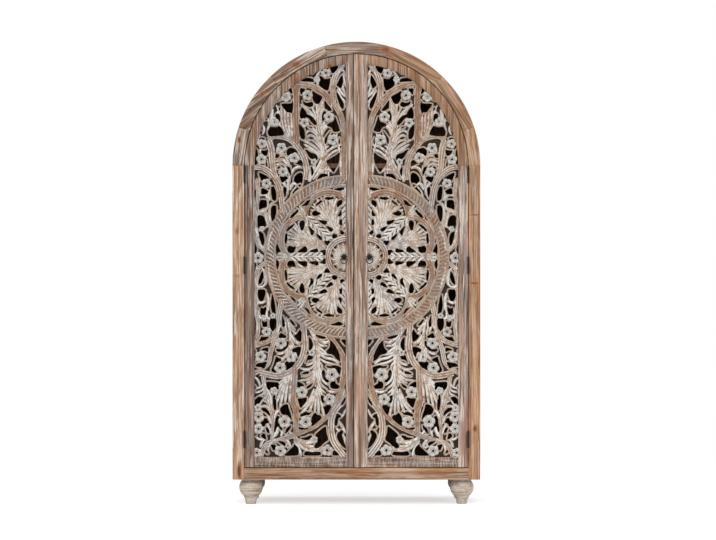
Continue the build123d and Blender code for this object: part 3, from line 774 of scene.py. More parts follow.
STAR_POINTS, STAR_RADIUS, STAR_CORE, STAR_BITE = 9, 0.0162, 0.0086, 0.46
EYE_Y, EYE_RADIUS, RING_RADIUS, RING_WIRE = -0.0064, 0.0042, 0.0135, 0.0019
STAR_OUTLINE = [
    (0.0, -0.0030), (STAR_RADIUS, -0.0030), (STAR_RADIUS, -0.0022), (STAR_RADIUS * 0.93, -0.0015),
    (0.0090, -0.0014), (0.0082, -0.0015), (0.0081, -0.0006), (0.0070, 0.0010), (0.0050, 0.0021),
    (0.0030, 0.0025), (0.0, 0.0026),
]
EYE_STEM = [(0.0, 0.0016), (0.0019, 0.0016), (0.0016, 0.0032), (0.0016, 0.0044), (0.0, 0.0044)]


def slab(work, low, high):
    """A small plate between two corners with its edges eased."""
    middle = [(a + b) / 2 for a, b in zip(low, high)]
    size = [abs(b - a) for a, b in zip(low, high)]
    made = bmesh.ops.create_cube(work, size=1.0, matrix=Matrix.Translation(middle) @ Matrix.Diagonal((*size, 1.0)))
    edges = {edge for vertex in made["verts"] for edge in vertex.link_edges}
    bmesh.ops.bevel(
        work, geom=list(edges), offset=0.0003, offset_type="OFFSET", segments=2, profile=0.5, affect="EDGES"
    )


def turned(work, outline, place, turns=24, closed=False):
    """Turns an outline and sets it in its place."""
    bmesh.ops.transform(work, matrix=place, verts=lathe(work, outline, turns=turns, closed=closed))


def quarter(axis, sign=1):
    return Matrix.Rotation(math.radians(90 * sign), 4, axis)


def iron_piece(work, name, body, node, degrees=40):
    new_piece(name, mesh_from(work, name, degrees), "iron", body, [node])


def barrel(low, high, bore=0.0):
    """The outline of a rolled knuckle with eased rims, solid or bored."""
    inside = BARREL_RADIUS - RIM_EASE
    rim = [(inside, low), (BARREL_RADIUS, low + RIM_EASE), (BARREL_RADIUS, high - RIM_EASE), (inside, high)]
    return [(bore, low), *rim, (bore, high)]


def hinge_leaf(work, sign, near, far, middle, spans):
    """One leaf of a hinge: its plate, and the part of it that each knuckle is rolled from."""
    plate_front = FACE_Y + BARREL_Y + BARREL_RADIUS + HINGE_PLAY
    back = FACE_Y + BARREL_Y + LEAF_REACH + 0.004
    low, high = middle - HINGE_TALL / 2, middle + HINGE_TALL / 2
    slab(work, (sign * near, plate_front, low), (sign * far, back, high))
    for bottom, top in spans:
        slab(work, (sign * near, FACE_Y + BARREL_Y, bottom), (sign * far, plate_front + 0.001, top))


def hinge(fixed, swung, sign, outer, middle):
    """One butt hinge: the frame's leaf with two knuckles and the pin, the door's leaf with one, and their screws."""
    cuts = [middle - HINGE_TALL / 2 + KNUCKLE * n for n in range(4)]
    here = Matrix.Translation((sign * (outer - HINGE_GAP / 2), FACE_Y + BARREL_Y, 0))
    for low, high in (cuts[:2], cuts[2:]):
        turned(fixed, barrel(low, high), here)
    low, high = cuts[1] - PIN_LAP, cuts[2] + PIN_LAP
    turned(fixed, [(0.0, low), (PIN_RADIUS, low), (PIN_RADIUS, high), (0.0, high)], here, 16)
    for end, way in ((cuts[0], -1), (cuts[3], 1)):
        turned(fixed, [(radius, end + way * up) for radius, up in PIN_HEAD], here, 16)
    door = (cuts[1] + HINGE_PLAY, cuts[2] - HINGE_PLAY)
    turned(swung, barrel(*door, bore=PIN_RADIUS + 0.0002), here, closed=True)
    hung = outer - HINGE_GAP
    hinge_leaf(fixed, sign, outer - LEAF_THICK, outer, middle, (cuts[:2], cuts[2:]))
    hinge_leaf(swung, sign, hung, hung + LEAF_THICK, middle, (door,))
    for up in SCREWS_UP:
        for work, at, way in ((fixed, outer - LEAF_THICK, -1), (swung, hung + LEAF_THICK, 1)):
            place = Matrix.Translation((sign * at, FACE_Y + SCREWS_IN, middle + up))
            turned(work, SCREW_HEAD, place @ quarter("Y", sign * way), 16)


class CABINET_OT_hinges(bpy.types.Operator):
    """Rolls the butt hinges: the frame's leaves with their pins, and the doors' leaves"""

    bl_idname = "cabinet.hinges"
    bl_label = "Hinges"

    def execute(self, context):
        for side, sign in SIDES.items():
            outer = max(abs(corner.x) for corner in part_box("frame_stile_" + side)) - STILE_WIDE
            fixed, swung = bmesh.new(), bmesh.new()
            for middle in HINGE_MIDDLES:
                hinge(fixed, swung, sign, outer, middle)
            iron_piece(fixed, "hinge_leaves_on_frame_" + side, "cabinet", "hinge_frame_leaves_" + side)
            iron_piece(swung, "hinge_leaves_on_door_" + side, side + "_door", "hinge_door_leaves_" + side)
        return {"FINISHED"}


def star_plate(x):
    """A plate drawn in between its points, with a dome, and the eye that its ring hangs in."""
    work = bmesh.new()
    points = lathe(work, STAR_OUTLINE, turns=8 * STAR_POINTS)
    for point in points:
        radius = math.hypot(point.co.x, point.co.y)
        if radius > STAR_CORE:
            beat = 0.5 + 0.5 * math.cos(STAR_POINTS * (math.atan2(point.co.y, point.co.x) - math.pi / 2))
            pull_in = 1 - STAR_BITE * (1 - beat**2) * min(1.0, (radius - STAR_CORE) / 0.004)
            point.co.x, point.co.y = point.co.x * pull_in, point.co.y * pull_in
    here = Matrix.Translation((x, FACE_Y, PULL_Z)) @ quarter("X")
    bmesh.ops.transform(work, matrix=here, verts=points)
    turned(work, EYE_STEM, here, 16)
    eye = Matrix.Translation((x, FACE_Y + EYE_Y, PULL_Z)) @ quarter("Y")
    hole = RING_WIRE + 0.0005
    half = [(hole, 0.0011), (hole + 0.0004, 0.0015), (EYE_RADIUS - 0.0004, 0.0015), (EYE_RADIUS, 0.0010)]
    turned(work, [(radius, -up) for radius, up in half] + half[::-1], eye, 28, True)
    return work


def hung_ring(x):
    work = bmesh.new()
    wire, count = RING_WIRE * 0.97, 14
    turns = [2 * math.pi * n / count for n in range(count)]
    outline = [(RING_RADIUS + wire * math.cos(turn), wire * math.sin(turn)) for turn in turns]
    here = Matrix.Translation((x, FACE_Y + EYE_Y, PULL_Z - RING_RADIUS)) @ quarter("X")
    turned(work, outline, here, 56, True)
    return work


class CABINET_OT_pulls(bpy.types.Operator):
    """Forges the star plates with their domes and eyes, and the rings that hang in them"""

    bl_idname = "cabinet.pulls"
    bl_label = "Ring Pulls"

    def execute(self, context):
        for side in SIDES:
            low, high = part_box("pull_plate_" + side)
            x = (low.x + high.x) / 2
            iron_piece(star_plate(x), "star_plate_" + side, side + "_door", "pull_plate_" + side)
            iron_piece(hung_ring(x), "hung_ring_" + side, side + "_ring", "pull_ring_" + side, 80)
        return {"FINISHED"}


# ---------------------------------------------------------------- the carver's drawing
# Squares from a panel's inner edge towards the hinges, then squares above the medallion's middle. Semicolons stand
# between the entries of a table.
# A stem: widths at its two ends, warmth of its wood, then its middle line.
STEMS = """
    7 6 0.45 40 77 39 86 43 102 55 117 70 121 78 117; 8 6 0.25 78 117 75 108 74 98 73 88 70 78; 8 5 0.5 20 78 20 99
    25 118 28 135 27 149 22.5 160; 6 7 0.95 49 112 49.5 137 50 165 53 175; 6 6 0.55 55 173 42 172.5 27 167.5 14.5
    156 5 141 2 122 2.5 78; 6 6 0.5 12 150 13 167 11 180 3 192; 6 6 0.5 94 90 84 89 76 84 70 76 66 66 63 44; 4.5 4.5
    0.3 88.5 79 88 62 90.5 32 88 14 80 5; 4 4 0.3 92 42 82 45 78 37 75 27; 4.5 4.5 0.2 80 -5 89 -15 90 -43 88 -73 92
    -88; 6 6 0.35 64 -42 68 -63 69 -72 73 -80 80 -85 94 -89; 5 5 0.35 70 -76 75 -94 79 -108 94 -118; 7 7 0.5 43 -66
    42 -81 41.5 -91 44.5 -102 51 -111 66 -119 86 -116; 8 6 0.6 52 -110 52.5 -131 53 -145 50 -155 50 -178; 7 6 0.6 18
    -78 4 -99 2 -117 10 -146 27 -166 47 -176 60 -181; 7 7 0.4 1 -132 5 -145 12 -155 15 -166 14 -180 10 -189 0 -202;
    5 4 0.5 83 -118 80 -138 74 -158 73 -171 74 -185; 5 5 0.4 55 -179 66 -183 80 -188 86 -202; 4 4 0.3 52 -178 49
    -188 46 -203; 4 4 0.3 48 -187 36 -193 20 -193; 3.5 3.5 0.4 58 160 74 153 83 139 88 125 92 108
"""

# A rib of a leaf: its width, the warmth of its wood, then its middle line from foot to tip.
RIBS = {
    "the upper leaf: spine, tall lobes, curls to the left, curls to the right, foot": """
        4.6 .5 37 75 32 82 26 92 23 101 24.5 113 26.5 124; 4 .5 31 79 26 87 22 96 22 108 25 121; 3.2 .3 26.5 124
        27.5 134 27 144 24 152 21.5 159; 3 .2 25.5 124 26 136 25 144 22 151; 3.4 0 28 131 33 142 39 148 45.5 153;
        3.2 .1 28 129 32 138 36 143 40.5 143.5; 3 .2 28 133 30 142 33 149 31 154; 3 .1 27.5 136 28.5 146 29 153 27
        158; 3 .3 26 138 24 146 23.5 152 22 160; 3 0 26.5 128 24.5 136 24.5 143 21.5 149; 3 .1 25.5 126 23 132 20.5
        135; 5 .4 25.5 117 22 127 16 131.5 11 126.5; 3 .3 25.5 119 23 129 19.5 133; 3.4 0 26.5 120 31 127 36 130.5;
        3.4 .3 25.5 113 29 122 35 126.5 40 124.5 41.5 120; 3.2 .2 25 110 29.5 118 34.5 122 39 121; 3.2 .3 24.5 107
        29 113.5 34 117 39.5 117; 3.4 .2 24 103 30 109.5 36 113.5 44 117.5; 3.4 .1 23.5 100 29 105 35 109 42 113;
        3.2 .2 23 96 27 101 32 106 38 109; 3.4 .1 24 86 20.5 96 14 103.5 5 108; 3.4 .2 23.5 92 20.5 102 13 109 4.5
        112; 3 .3 23.5 98 20.5 108 17 111; 3 .3 24.5 106 22.5 113 21.5 120; 3.6 .4 30 80 24 86 18 87 14 84.5; 3.6 .5
        28 82 23 90 19 93; 3.4 .3 33 77 27 83 21 85; 4.4 0 36 75 34 83 31.5 89 32 94
    """,
    "the broad leaf beside the upright stem, and the thin leaves along the arch": """
        4 .8 52 113 53.5 125 54 145; 4 1 53 113 56 126 57.5 146; 4 .6 54 115 59 128 61 149; 4 .7 55 115 62 131 64.5
        152; 3.4 .2 57 117 62 123 66.5 129; 3.4 .3 58 119 65 130 67 141; 3.4 .1 66 130 69 138 67 148; 5 0 73.5 148
        75 140 73.5 133 69 131; 3 .1 70 152 67.5 146 67 138 67.5 133; 3 .1 81 141 77 134 79 126; 3 .1 85 134 82 128
        84 122; 3 .2 77 147 81 139 86 130 89 122; 3 .1 72 152 78 144 84 135; 3 .1 86 123 88 118 90 112
    """,
    "along the top and the meeting stile": """
        3.4 .1 35 182 29 186.5 24 187; 3 0 30 180 27 184 24 188; 4 0 32 178 28.5 176 29 172; 3.4 .3 9.5 178 6 186 0
        194; 3.4 .2 11 180 8 189 2 196; 3.2 .2 9 173 5.5 165 0 159.5; 3.2 .1 9 168 5.5 160 0 154; 3 .2 7 162 3 155 0
        149; 3.4 0 0 162 3 170 5 179; 3 .1 0 170 1.5 178 3 184; 3 .2 0 180 2 186 5 188; 3.2 .5 9 125 9.5 118 7 106 6
        92 5 80
    """,
    "the spray inside the loop": """
        4.6 .3 56 80 58 92 63 97.5 70.5 95.5; 3.4 .2 57 82 60 90 65 93.5 71 92; 3.2 .3 55.5 84 57.5 96 61 101 67
        101; 4 .3 55 80 52 87 47 89.5 43.5 88; 3.6 .2 58 62 57 72 55.5 82 55 92; 3.4 0 57.5 66 60.5 72 64 76; 3.4 0
        57 68 57.5 74 59 79; 4 0 56 67 52.5 73 47 71; 3.2 .3 61 57 58 66 57 72; 3 .2 56 57 53 65 49 71; 3 0 58 97 56
        103 59 108; 3 .1 60 103 66 104 70 107
    """,
    "along the hinge stile": """
        3.4 0 86 108 85.5 103; 3.4 0 76.5 67 78 61 76 56; 4 0 86 61 81 62 77.5 57; 3.4 .2 93 125 92 112 91 100 92
        91; 3.4 .1 78 58 79.5 48 85 46 88.5 42; 4 .1 78 31 82 29.5 87 28; 3.4 .3 91 42 91 30 87 18 83 9; 3 .2 90 24
        86.5 14 82.5 6; 4 .2 81 44 80 36 78 30; 3.4 .1 70 56 75.5 52 77 44 76 34; 3.4 0 92 -6 90 -12 86 -11; 3.2 .1
        90.5 -12 91 -22 88.5 -30 82 -30; 4 0 83 -30 80 -26 81 -16 84 -11; 3.4 .1 89.5 -45 85 -46.5 79.5 -44; 4 .1 79
        -36 78 -46 79 -55; 3.4 0 79 -52 79.5 -60 75 -63 71 -61; 3.4 .1 87.5 -58 85 -62 80 -61; 3.4 .1 89 -60 89 -70
        89.5 -80; 3.4 .1 92 -30 92 -45 91 -60; 3.4 .3 92 60 92 40 92.5 22; 3.2 .1 72 30 77 18 78 6; 3.2 .1 78 -6 77
        -18 73 -32; 3 .1 88 60 88 68 90 78
    """,
    "the spray under the wreath": """
        3.4 .2 62 -60 64 -68 62 -76; 3.4 .2 60 -61 61 -70 59 -78; 3.8 .5 60 -60 57 -72 56 -84 57 -96; 4 .4 58 -66 53
        -72 50 -74; 4.6 .4 56.5 -76 52.5 -84 45.5 -88; 3.4 .3 56.5 -80 53 -89 50 -92; 4 .3 57 -88 62 -95 69.5 -97; 4
        .2 57 -90 60.5 -99 66 -103.5; 4 .3 56.5 -90 58 -99 58 -105; 4 .3 56.5 -88 54 -98 53 -105; 4 .3 56 -86 52.5
        -95 49 -101; 3.4 .2 59 -64 67 -70 69 -78; 3.4 .1 56 -70 50 -78 46 -76; 4.4 0 34 -80 31.5 -88 34 -95
    """,
    "the lower leaf: spine, curls to the left, curls to the right, ring round the flower": """
        4.6 .5 38 -70 33 -80 29.5 -92 28.5 -106 30 -118 31 -130; 3.4 .3 35 -70 30 -82 27.5 -96 27.5 -108 29 -122;
        3.4 .1 30 -96 33 -105 40 -108.5; 3.4 .2 29 -100 32.5 -109 39 -112.5 46 -111; 3.4 .2 29 -104 32 -113 38
        -118.5 45 -120; 3.4 .1 29.5 -109 33 -118 38.5 -122.5 46 -123.5; 3.4 .2 30 -113 33.5 -122 40 -126.5; 3.4 .1
        30.5 -119 33 -126 38 -130; 4.6 .3 34 -77 27 -83 21.5 -86.5 16.5 -84.5; 3.4 .6 31 -84 25 -89 18.5 -89.5; 3.4
        0 30 -88 24 -93.5 19.5 -97; 3.4 .1 29 -92 24 -97 14.5 -98; 3.4 0 28.5 -96 21 -101 13 -103 7 -107.5; 3.2 .2
        28 -101 21 -105.5 14 -107.5 8 -109; 3 .1 27.5 -104 24 -110 24.5 -118; 3.2 0 27.5 -106 26 -115 24 -123 17.5
        -129; 3.2 .2 28 -110 27.5 -120 25 -128 18 -133.5; 3.2 .3 29 -116 28 -126 25 -133 20 -137; 3.6 .7 20 -134 12
        -136 7 -134
    """,
    "its tail": """
        3.6 .3 32 -132 37.5 -144 46 -152; 3.6 .1 31.5 -134 37 -147 45.5 -157; 3.6 .3 31 -134 34.5 -148 38 -157.5;
        3.4 .2 30.5 -134 31 -146 31.5 -157; 3.6 .1 30 -132 28 -146 27.5 -159; 3.6 .3 29.5 -130 25.5 -143 22.5 -160;
        3.4 .1 29 -128 24.5 -138 21.5 -149
    """,
    "the lower broad leaf": """
        4 .8 53 -112 55.5 -125 57 -146; 4 .5 54 -113 59 -128 61.5 -147; 3.8 .2 55 -114 62 -131 66.5 -151; 3.8 .1 56
        -115 64 -131 70.5 -148; 3.6 .1 57 -116 65.5 -128 72 -140; 3.4 0 57.5 -117 63 -123 68.5 -128
    """,
    "the lower corner towards the hinges": """
        3.2 0 82 -120 80 -130 76 -139 74.5 -150; 2.8 0 82.5 -122 84 -129 91 -132; 2.8 .1 81.5 -126 83.5 -133 91
        -136; 2.8 0 80.5 -130 82.5 -136.5 88 -139.5; 4.6 0 78 -131 74.5 -132 71.5 -136; 3 .1 79 -139 83 -142.5 88
        -149; 2.8 0 75 -152 78 -146 82.5 -144; 2.8 .1 74.5 -155 78.5 -149.5 85.5 -149; 2.8 .1 76 -148 77.5 -143 80.5
        -141; 3.4 0 71 -162 70 -157 66 -153; 3.2 0 74 -178 77 -170 80 -165; 3.2 .1 74 -168 77 -160 80 -156; 4.6 0 73
        -181 69.5 -177 67.5 -170; 3.4 0 65 -180 63.5 -176 64.5 -172; 3.4 .1 80 -181 84 -185 86 -191; 3 .1 92 -120 88
        -124 86 -130; 3 0 91 -180 86 -183 80 -182
    """,
    "along the bottom and the meeting stile": """
        5 .3 53 -180 43 -186.5 35 -186 31 -179.5; 4 .3 50 -181 40 -189.5 31 -190; 4 0 50 -184 43 -191.5 33 -194.5 25
        -190; 4 0 52 -184 47.5 -192 45 -200; 3.6 0 61 -182 57 -187 56 -192; 3.2 .2 62 -182 71 -183 77 -188 79 -198;
        4 .2 0 -176 4.5 -168 9 -163; 3.4 .3 0 -182 5.5 -175 10 -171; 3.4 .1 0 -188 3 -183 5 -176; 3 .2 0 -152 3 -158
        6 -161; 3.2 .1 0 -192 1.5 -187 0 -180; 3 .1 60 -168 56 -176 50 -180
    """,
}

# A flower: its middle and radius.
FLOWERS = [
    (20, 184, 5), (60, 160, 5.5), (38.5, 161.5, 5.5), (17, 140, 5.5), (41.5, 134, 5), (13, 117, 6), (72, 135, 5),
    (84, 113, 5), (64.5, 109, 5.5), (51.7, 99, 5.5), (84.5, 97.5, 5.5), (63, 85, 5), (79.5, 73.5, 5), (88, -1, 6),
    (79.4, -75, 5), (65, -86.5, 6), (85.5, -100, 6), (55, -100, 6), (66, -111, 6), (14, -118, 7), (44, -135.5, 6),
    (16.5, -142.5, 6), (87.5, -160, 6), (87.5, -172, 5.5), (61.4, -165, 6.5), (40.3, -165.3, 6.5),
    (65.6, -194.3, 6), (18.8, -193.7, 6), (89, -196, 5), (29, 177.5, 3.5), (32, 95, 3.5), (73, -59, 3),
    (82, -61, 3), (84, 28, 3), (34, -96, 3.5), (32, -183, 4), (58, -189, 3), (72, -134, 4), (88, -151, 4),
]

# The holes cut right through, as rough outlines.
HOLES = """
    16 190.5 7 191.5 10 186 13.5 183.5 15 187; 27 181 24 180 22 177.5 18 177.5 16 179 16.5 173 18 166.5 22 168 27
    172 26 178; 45 176.5 40 178.8 36 178.5 33 177.5 32 175 38 176 44 176; 9 172 6 178 3.5 182 3 178 4 171 5.5 168.5
    8 171; 9.5 165 8.5 160 5.5 151 3 147.5 2 153 5 158 8 163; 58 168 55 170 53.5 163 55 164; 46 168.5 41 168 42 166
    45 162; 33.5 166 31 164 23.5 160 25 157 27 153.5 30 153 32.5 157 33.5 161; 43 156 41 154 38 153.5 34 155 32.5
    151.5 36 150 38 151 42 152.5; 44 150 46 144 45.5 139 43 138 40 140 37 139 34 135 30 131 29.5 134 32 138 35 141
    39 142 41 146; 38 130.5 34 128.5 33.5 129.5; 22 146 24 141 23.5 136 22 137 21 142 20 146; 21.5 157 19 153 13.5
    146 21 147; 11 141 9 134 6.5 127 7 126 12 125 14 130 20 131.5 17 133.5 12 135; 65 153 54 153 53.5 157 53 150
    54.5 143 55.5 145 59 145 62 149; 67 159 65.5 159.5 66.5 157.5; 76 145 80.5 136 77 140; 70 143 66.5 143 66 136 68
    134 70.5 138; 67.5 149 66.5 145 66 149; 76 130 70 129 66 131 63 126 62 122 70 121 77 121 78 125; 86 129 85 127
    83 129.5; 87 118 84 119 81 118 84 117; 90.5 108 88.5 106 88.5 94 90 92 92 93 91.5 105; 85 106 80 106 78 107.5 79
    102 81 101 84 104; 80 99 78.5 90 80 91.5; 70 103 66.5 102 68 99.5 70.5 99; 59 107 55 109 50 107 48 103 51 105 55
    103 58 101 59 104; 47 133 46.5 128 46 122 44 118 41.5 118 41 121 42 127 45 131; 38 119 35 119.5 32 118.5 34 118;
    15.5 126 18 122 21 118 21 113 20 113.5 19 119 16.5 124; 7 120 6 115 7.5 112; 41 107.5 38 106 36 104 29 102 28.5
    97 31 98.5 34 98 36.5 100 38 103; 19.5 96 14.5 98.5 10 101 6.5 104.5 6.5 98 8.5 92 10.5 88.5 12.5 84.5 14.5 88
    17.5 91.5; 51.5 94 47 92.5 43.5 90.5 43.2 94 45.5 97 48 94.8; 29 77 24 80 18 81 19 82.7 24 83 27 80.5; 35 91
    32.5 87 32.5 84 34.5 80; 69 88 67 90.5 65 89; 60 91 56 89 55 83 55.5 81.5 57.5 86 59 90; 66 80.5 59 80 58.5 78
    62 76 63.5 74 65 77; 48 83 45 84 43.5 82 43.5 77 45 71 46 70 48.5 73 52 76 51 80; 87.5 84.5 82 82 76.5 78.5 80
    78 84 75; 93.5 77 92 75 92 68 94 68; 12 67.5 8 68.5 2.3 69.5 2.3 67.7 5.4 66.3 9.7 67.2; 62.5 70 59.7 69 60 63
    61 59 62 63.5; 45 72 47 69 51 66 54 62 53 65 49 69 46.5 72; 74.7 70 72.2 70 70 64 70 56 73.3 57 74.4 62.7; 74.7
    48.4 73.3 50.7 70 51.3 70 43.4 72.6 35.6 73.6 34.5 74.7 41.3; 84.4 68 82.6 68.4 77.2 65.2 79.7 63 84.7 62.4;
    85.8 56.6 79.7 56.6 78.9 49.9 84 49 86.5 47 86.9 50.6; 88.3 40.6 86.1 41.3 82.9 40.6 80.3 34.9 80.4 30.2 85.4
    29.9 87.2 27.7 88.3 32; 87.2 25.6 83.3 23.4 81.9 17.7 82.6 12 83.6 10.9 86.1 17.7; 92.9 17.7 89 7.7 91.1 1.6
    92.9 1.3; 93 -3 92 -3 90 -8 91 -14 93 -15; 83 -14 82.5 -20 85 -26 87.5 -28 87 -24 85 -17; 88 -33 81 -33 81 -38
    83 -44 86 -44 88 -40; 86 -50 85 -50 85.5 -57 82 -59 80 -54 80 -50 82 -52 84 -52; 84 -64 81 -66 79 -64 79 -70 83
    -70; 74 -37 75 -50 73 -57 70.5 -58 71 -50 73 -40; 76 -61 74 -62 70 -61 70 -70 73 -75 76 -70; 63.5 -58 63.5 -64
    63.8 -70 61 -70 61.5 -66; 69.8 -2 67 -6 68.3 -13.5 69.5 -10; 56.5 -63 55 -63 50 -69 53 -68; 16 -67.5 12 -68.3 5
    -68.5 3 -67.5 6 -65.5 8 -65 10 -66.5; 58 -38 50 -48 51 -43 55 -40; 47 -51 38 -58 37 -60 44 -52; 84.4 -80.1 82.6
    -80.9 76.5 -80.1 79.7 -82.6 87.2 -85.1 85.4 -82.6; 65.4 -76.2 62.6 -78 59.7 -79.8 60.8 -81.2 67.6 -81; 45.8
    -72.6 44.7 -75.1 44.6 -84.1 46.9 -84.6 49.7 -81.9 52.2 -78.7 48.6 -77.3; 31.9 -77.6 25.4 -79.4 18.3 -80.9 22.6
    -81.9 27.6 -80.9; 37.2 -79.8 34.4 -83.7 32.9 -88.7 35.1 -93 36.9 -93.7 36.5 -86.6; 15.8 -83 11.9 -87.3 7.6 -95.1
    5.1 -105.1 9.7 -101.6 12.6 -97.6 18.3 -96.9 19.4 -94.4 16.5 -91.9 15.4 -88.7; 5.1 -83.1 0 -83 0 -89.4; 77.9
    -90.9 78.3 -95.1 80.1 -93.7 84.7 -93.4 83.3 -92.3; 92 -93 90.8 -93.7 91.1 -103.7 92 -104.4; 90.4 -109.1 88.3
    -106.9 84 -106.6 79.4 -105.1 80.4 -108.7 82.2 -111.7 84.7 -110.1 89.7 -109.4; 69.7 -92.3 66.1 -93 62.6 -91.6
    59.7 -88.4 58.3 -84.1 57.2 -85.1 58.3 -90.1 61.1 -93 65.1 -94.8 69 -94.4; 54 -92.6 49.7 -90.9 44.9 -90.1 46.1
    -96.6 48.3 -101.2 49.1 -95.1 52.9 -95; 39 -103.7 37.6 -98.4 32.9 -99.4 34 -102.3 38.3 -103 40.4 -106.9; 70.1
    -100.1 67.6 -101.6 62.9 -103 65.8 -103.7 69 -105.5 70.8 -108 72.6 -112.3 69.7 -115.1 71.9 -115.7 74.6 -113.7
    71.9 -108 70.4 -103; 61.1 -106.6 58.3 -104.3 55.4 -105.5 50.6 -105 54 -110.1 60.1 -114.1 59 -110.1; 44.4 -117.3
    41.1 -115.5 37.2 -114.8 37.6 -116.6 41.9 -117.3; 48.6 -125.1 46.9 -125.5 42.2 -128.4 42.9 -130 49 -130.5; 39.4
    -130.9 36.9 -128.7 32.9 -126 34.7 -129.1 38.3 -131.7; 79.7 -125.1 66.1 -126.2 68.3 -129.4 67.2 -131.6 69 -135.1
    70.4 -130.9 73.3 -131.2 77.2 -133.4 79.4 -130.1; 19.7 -109.1 15.4 -110.1 11.1 -108.4 7.6 -110.1 5.1 -110.9 5.8
    -115.9 7.2 -118.7 8.6 -113.7 11.9 -110.9 18.3 -110.9; 23.6 -113.7 21.9 -113.4 20.8 -118 19 -122.3 16.9 -125.1
    19.7 -125.5 22.6 -121.6 24 -117.3; 15.4 -128 14.7 -125.9 10.8 -123.4 11.1 -126.6 6.5 -129.4 7.6 -131.9 14.7
    -131.6; 92.6 -127.6 90.1 -130.9 92.6 -134.8; 90.8 -143.4 86.9 -140.1 81.9 -141.6 84.7 -142.6 86.1 -145.9 89
    -148.4 88.6 -153.4 91.5 -152.3 91.9 -145.1; 85.1 -151.9 81.5 -151.2 78.3 -153.7 75.4 -158.7 76.9 -158.7 79.7
    -155.5 82.6 -154.1; 72.2 -138 70.8 -139.1 71.5 -142.3 69.9 -143.7 70.1 -153.4 71.5 -153.4 72.6 -147.3 72.7
    -140.9; 66.1 -152.6 62.6 -148.7 58.3 -147.6 57.6 -152.3 55.4 -158 54.2 -163.7 55.4 -161.6 58.3 -158 64 -157.6;
    48.3 -141.9 44 -142.3 39 -140.9 40.1 -144.8 42.9 -148.4 45.4 -151.9 46.5 -147.3; 25.1 -138.7 22.6 -139.4 21.5
    -143.7 21.1 -147.3 22.2 -148 24.4 -144.4; 21.1 -147.6 18.3 -148.4 14.4 -149.1 16.9 -154.4 20.4 -159.1 21.1
    -153.7 22.6 -150.1; 0.4 -140.1 1.1 -144.4 4.4 -149.1 4.7 -148 2.6 -143.7; 9 -157.3 7.2 -158 4.7 -159.8 6.1
    -160.5 8.3 -161.6 8.3 -165.1 9.4 -168.7 10.8 -169.1 10.8 -163.7 9.7 -160.5; 45.4 -158 42.6 -156.6 39.7 -155.1
    37.6 -156.6 34 -155.1 36.9 -158 40.4 -158 43.3 -159.4 45.1 -159.8; 30.8 -155.9 29.4 -158.4 25.4 -159.1 24.7
    -161.6 29.7 -166.2 34.4 -169.8 34.6 -164.4 33.3 -159.4; 69 -159.4 66.9 -159.8 67.9 -163 68.3 -166.6 65.8 -168.7
    63.6 -173 64.7 -173.7 67.2 -169.8 69.4 -169.4 70.4 -175.1 71.9 -175.1 70.8 -167.3 70.4 -163; 58.3 -170.9 54.9
    -168.7 56.1 -171.9 59 -175.5 61.1 -176.9 59.7 -173.7; 47 -170.1 45.8 -171.6 41.1 -171.2 36.9 -171.6 39.7 -172.6
    46.9 -172.6; 45.8 -181.6 39.7 -181.2 36.9 -179.4 33.6 -178.9 35.4 -181.6 37.6 -183 41.1 -183; 85.4 -165.9 82.2
    -164.4 81.5 -161.6 79.4 -161.9 78.6 -163.7 77.2 -165.9 80.8 -166.9 81.5 -169.4 84 -169.4; 92 -164.8 89.7 -165.5
    90.4 -167.6 92 -167.6; 80.4 -170.9 77.9 -171.6 76.9 -174.4 77 -176.6 78.6 -175.5 79.4 -173; 84.7 -179.4 82.9
    -176.9 81.1 -177.6 80.8 -180.1 79.9 -182.6 81.5 -182.3; 91.9 -176.9 89.1 -178.4 91.9 -178.7; 68.6 -184.4 64
    -184.8 61.1 -186.6 59.6 -189.4 61.9 -188.7 65.4 -186.2; 75.3 -188 70.4 -188.4 71.1 -192.6 72.6 -193.7; 80.8
    -193.7 79 -194.1 77.6 -197.3 79.4 -196.6; 51.9 -188 48.6 -190.1 47.2 -193.7 47.9 -198.7 62.2 -199.1 58.3 -195.9
    54.7 -192.3 51.9 -190.1; 40.4 -194.8 33.3 -195.9 26.1 -195.1 24.7 -198.7 42.2 -198.9; 20.1 -169.4 20.1 -175.9
    17.6 -183 22.6 -186.2 25.4 -189.4 29 -191.9 32.2 -190.1 29.4 -186.6 29 -182.3 30.4 -178 25.4 -173.7; 4.7 -173.7
    2.9 -174.8 4.4 -178.7 2.9 -183 1.1 -188.7 0.1 -191.9 3.3 -189.4 6.9 -184.4 9 -180.1 7.9 -176.6; 12.2 -193.7 9
    -195.9 6.1 -198.7 13.6 -198.7
"""
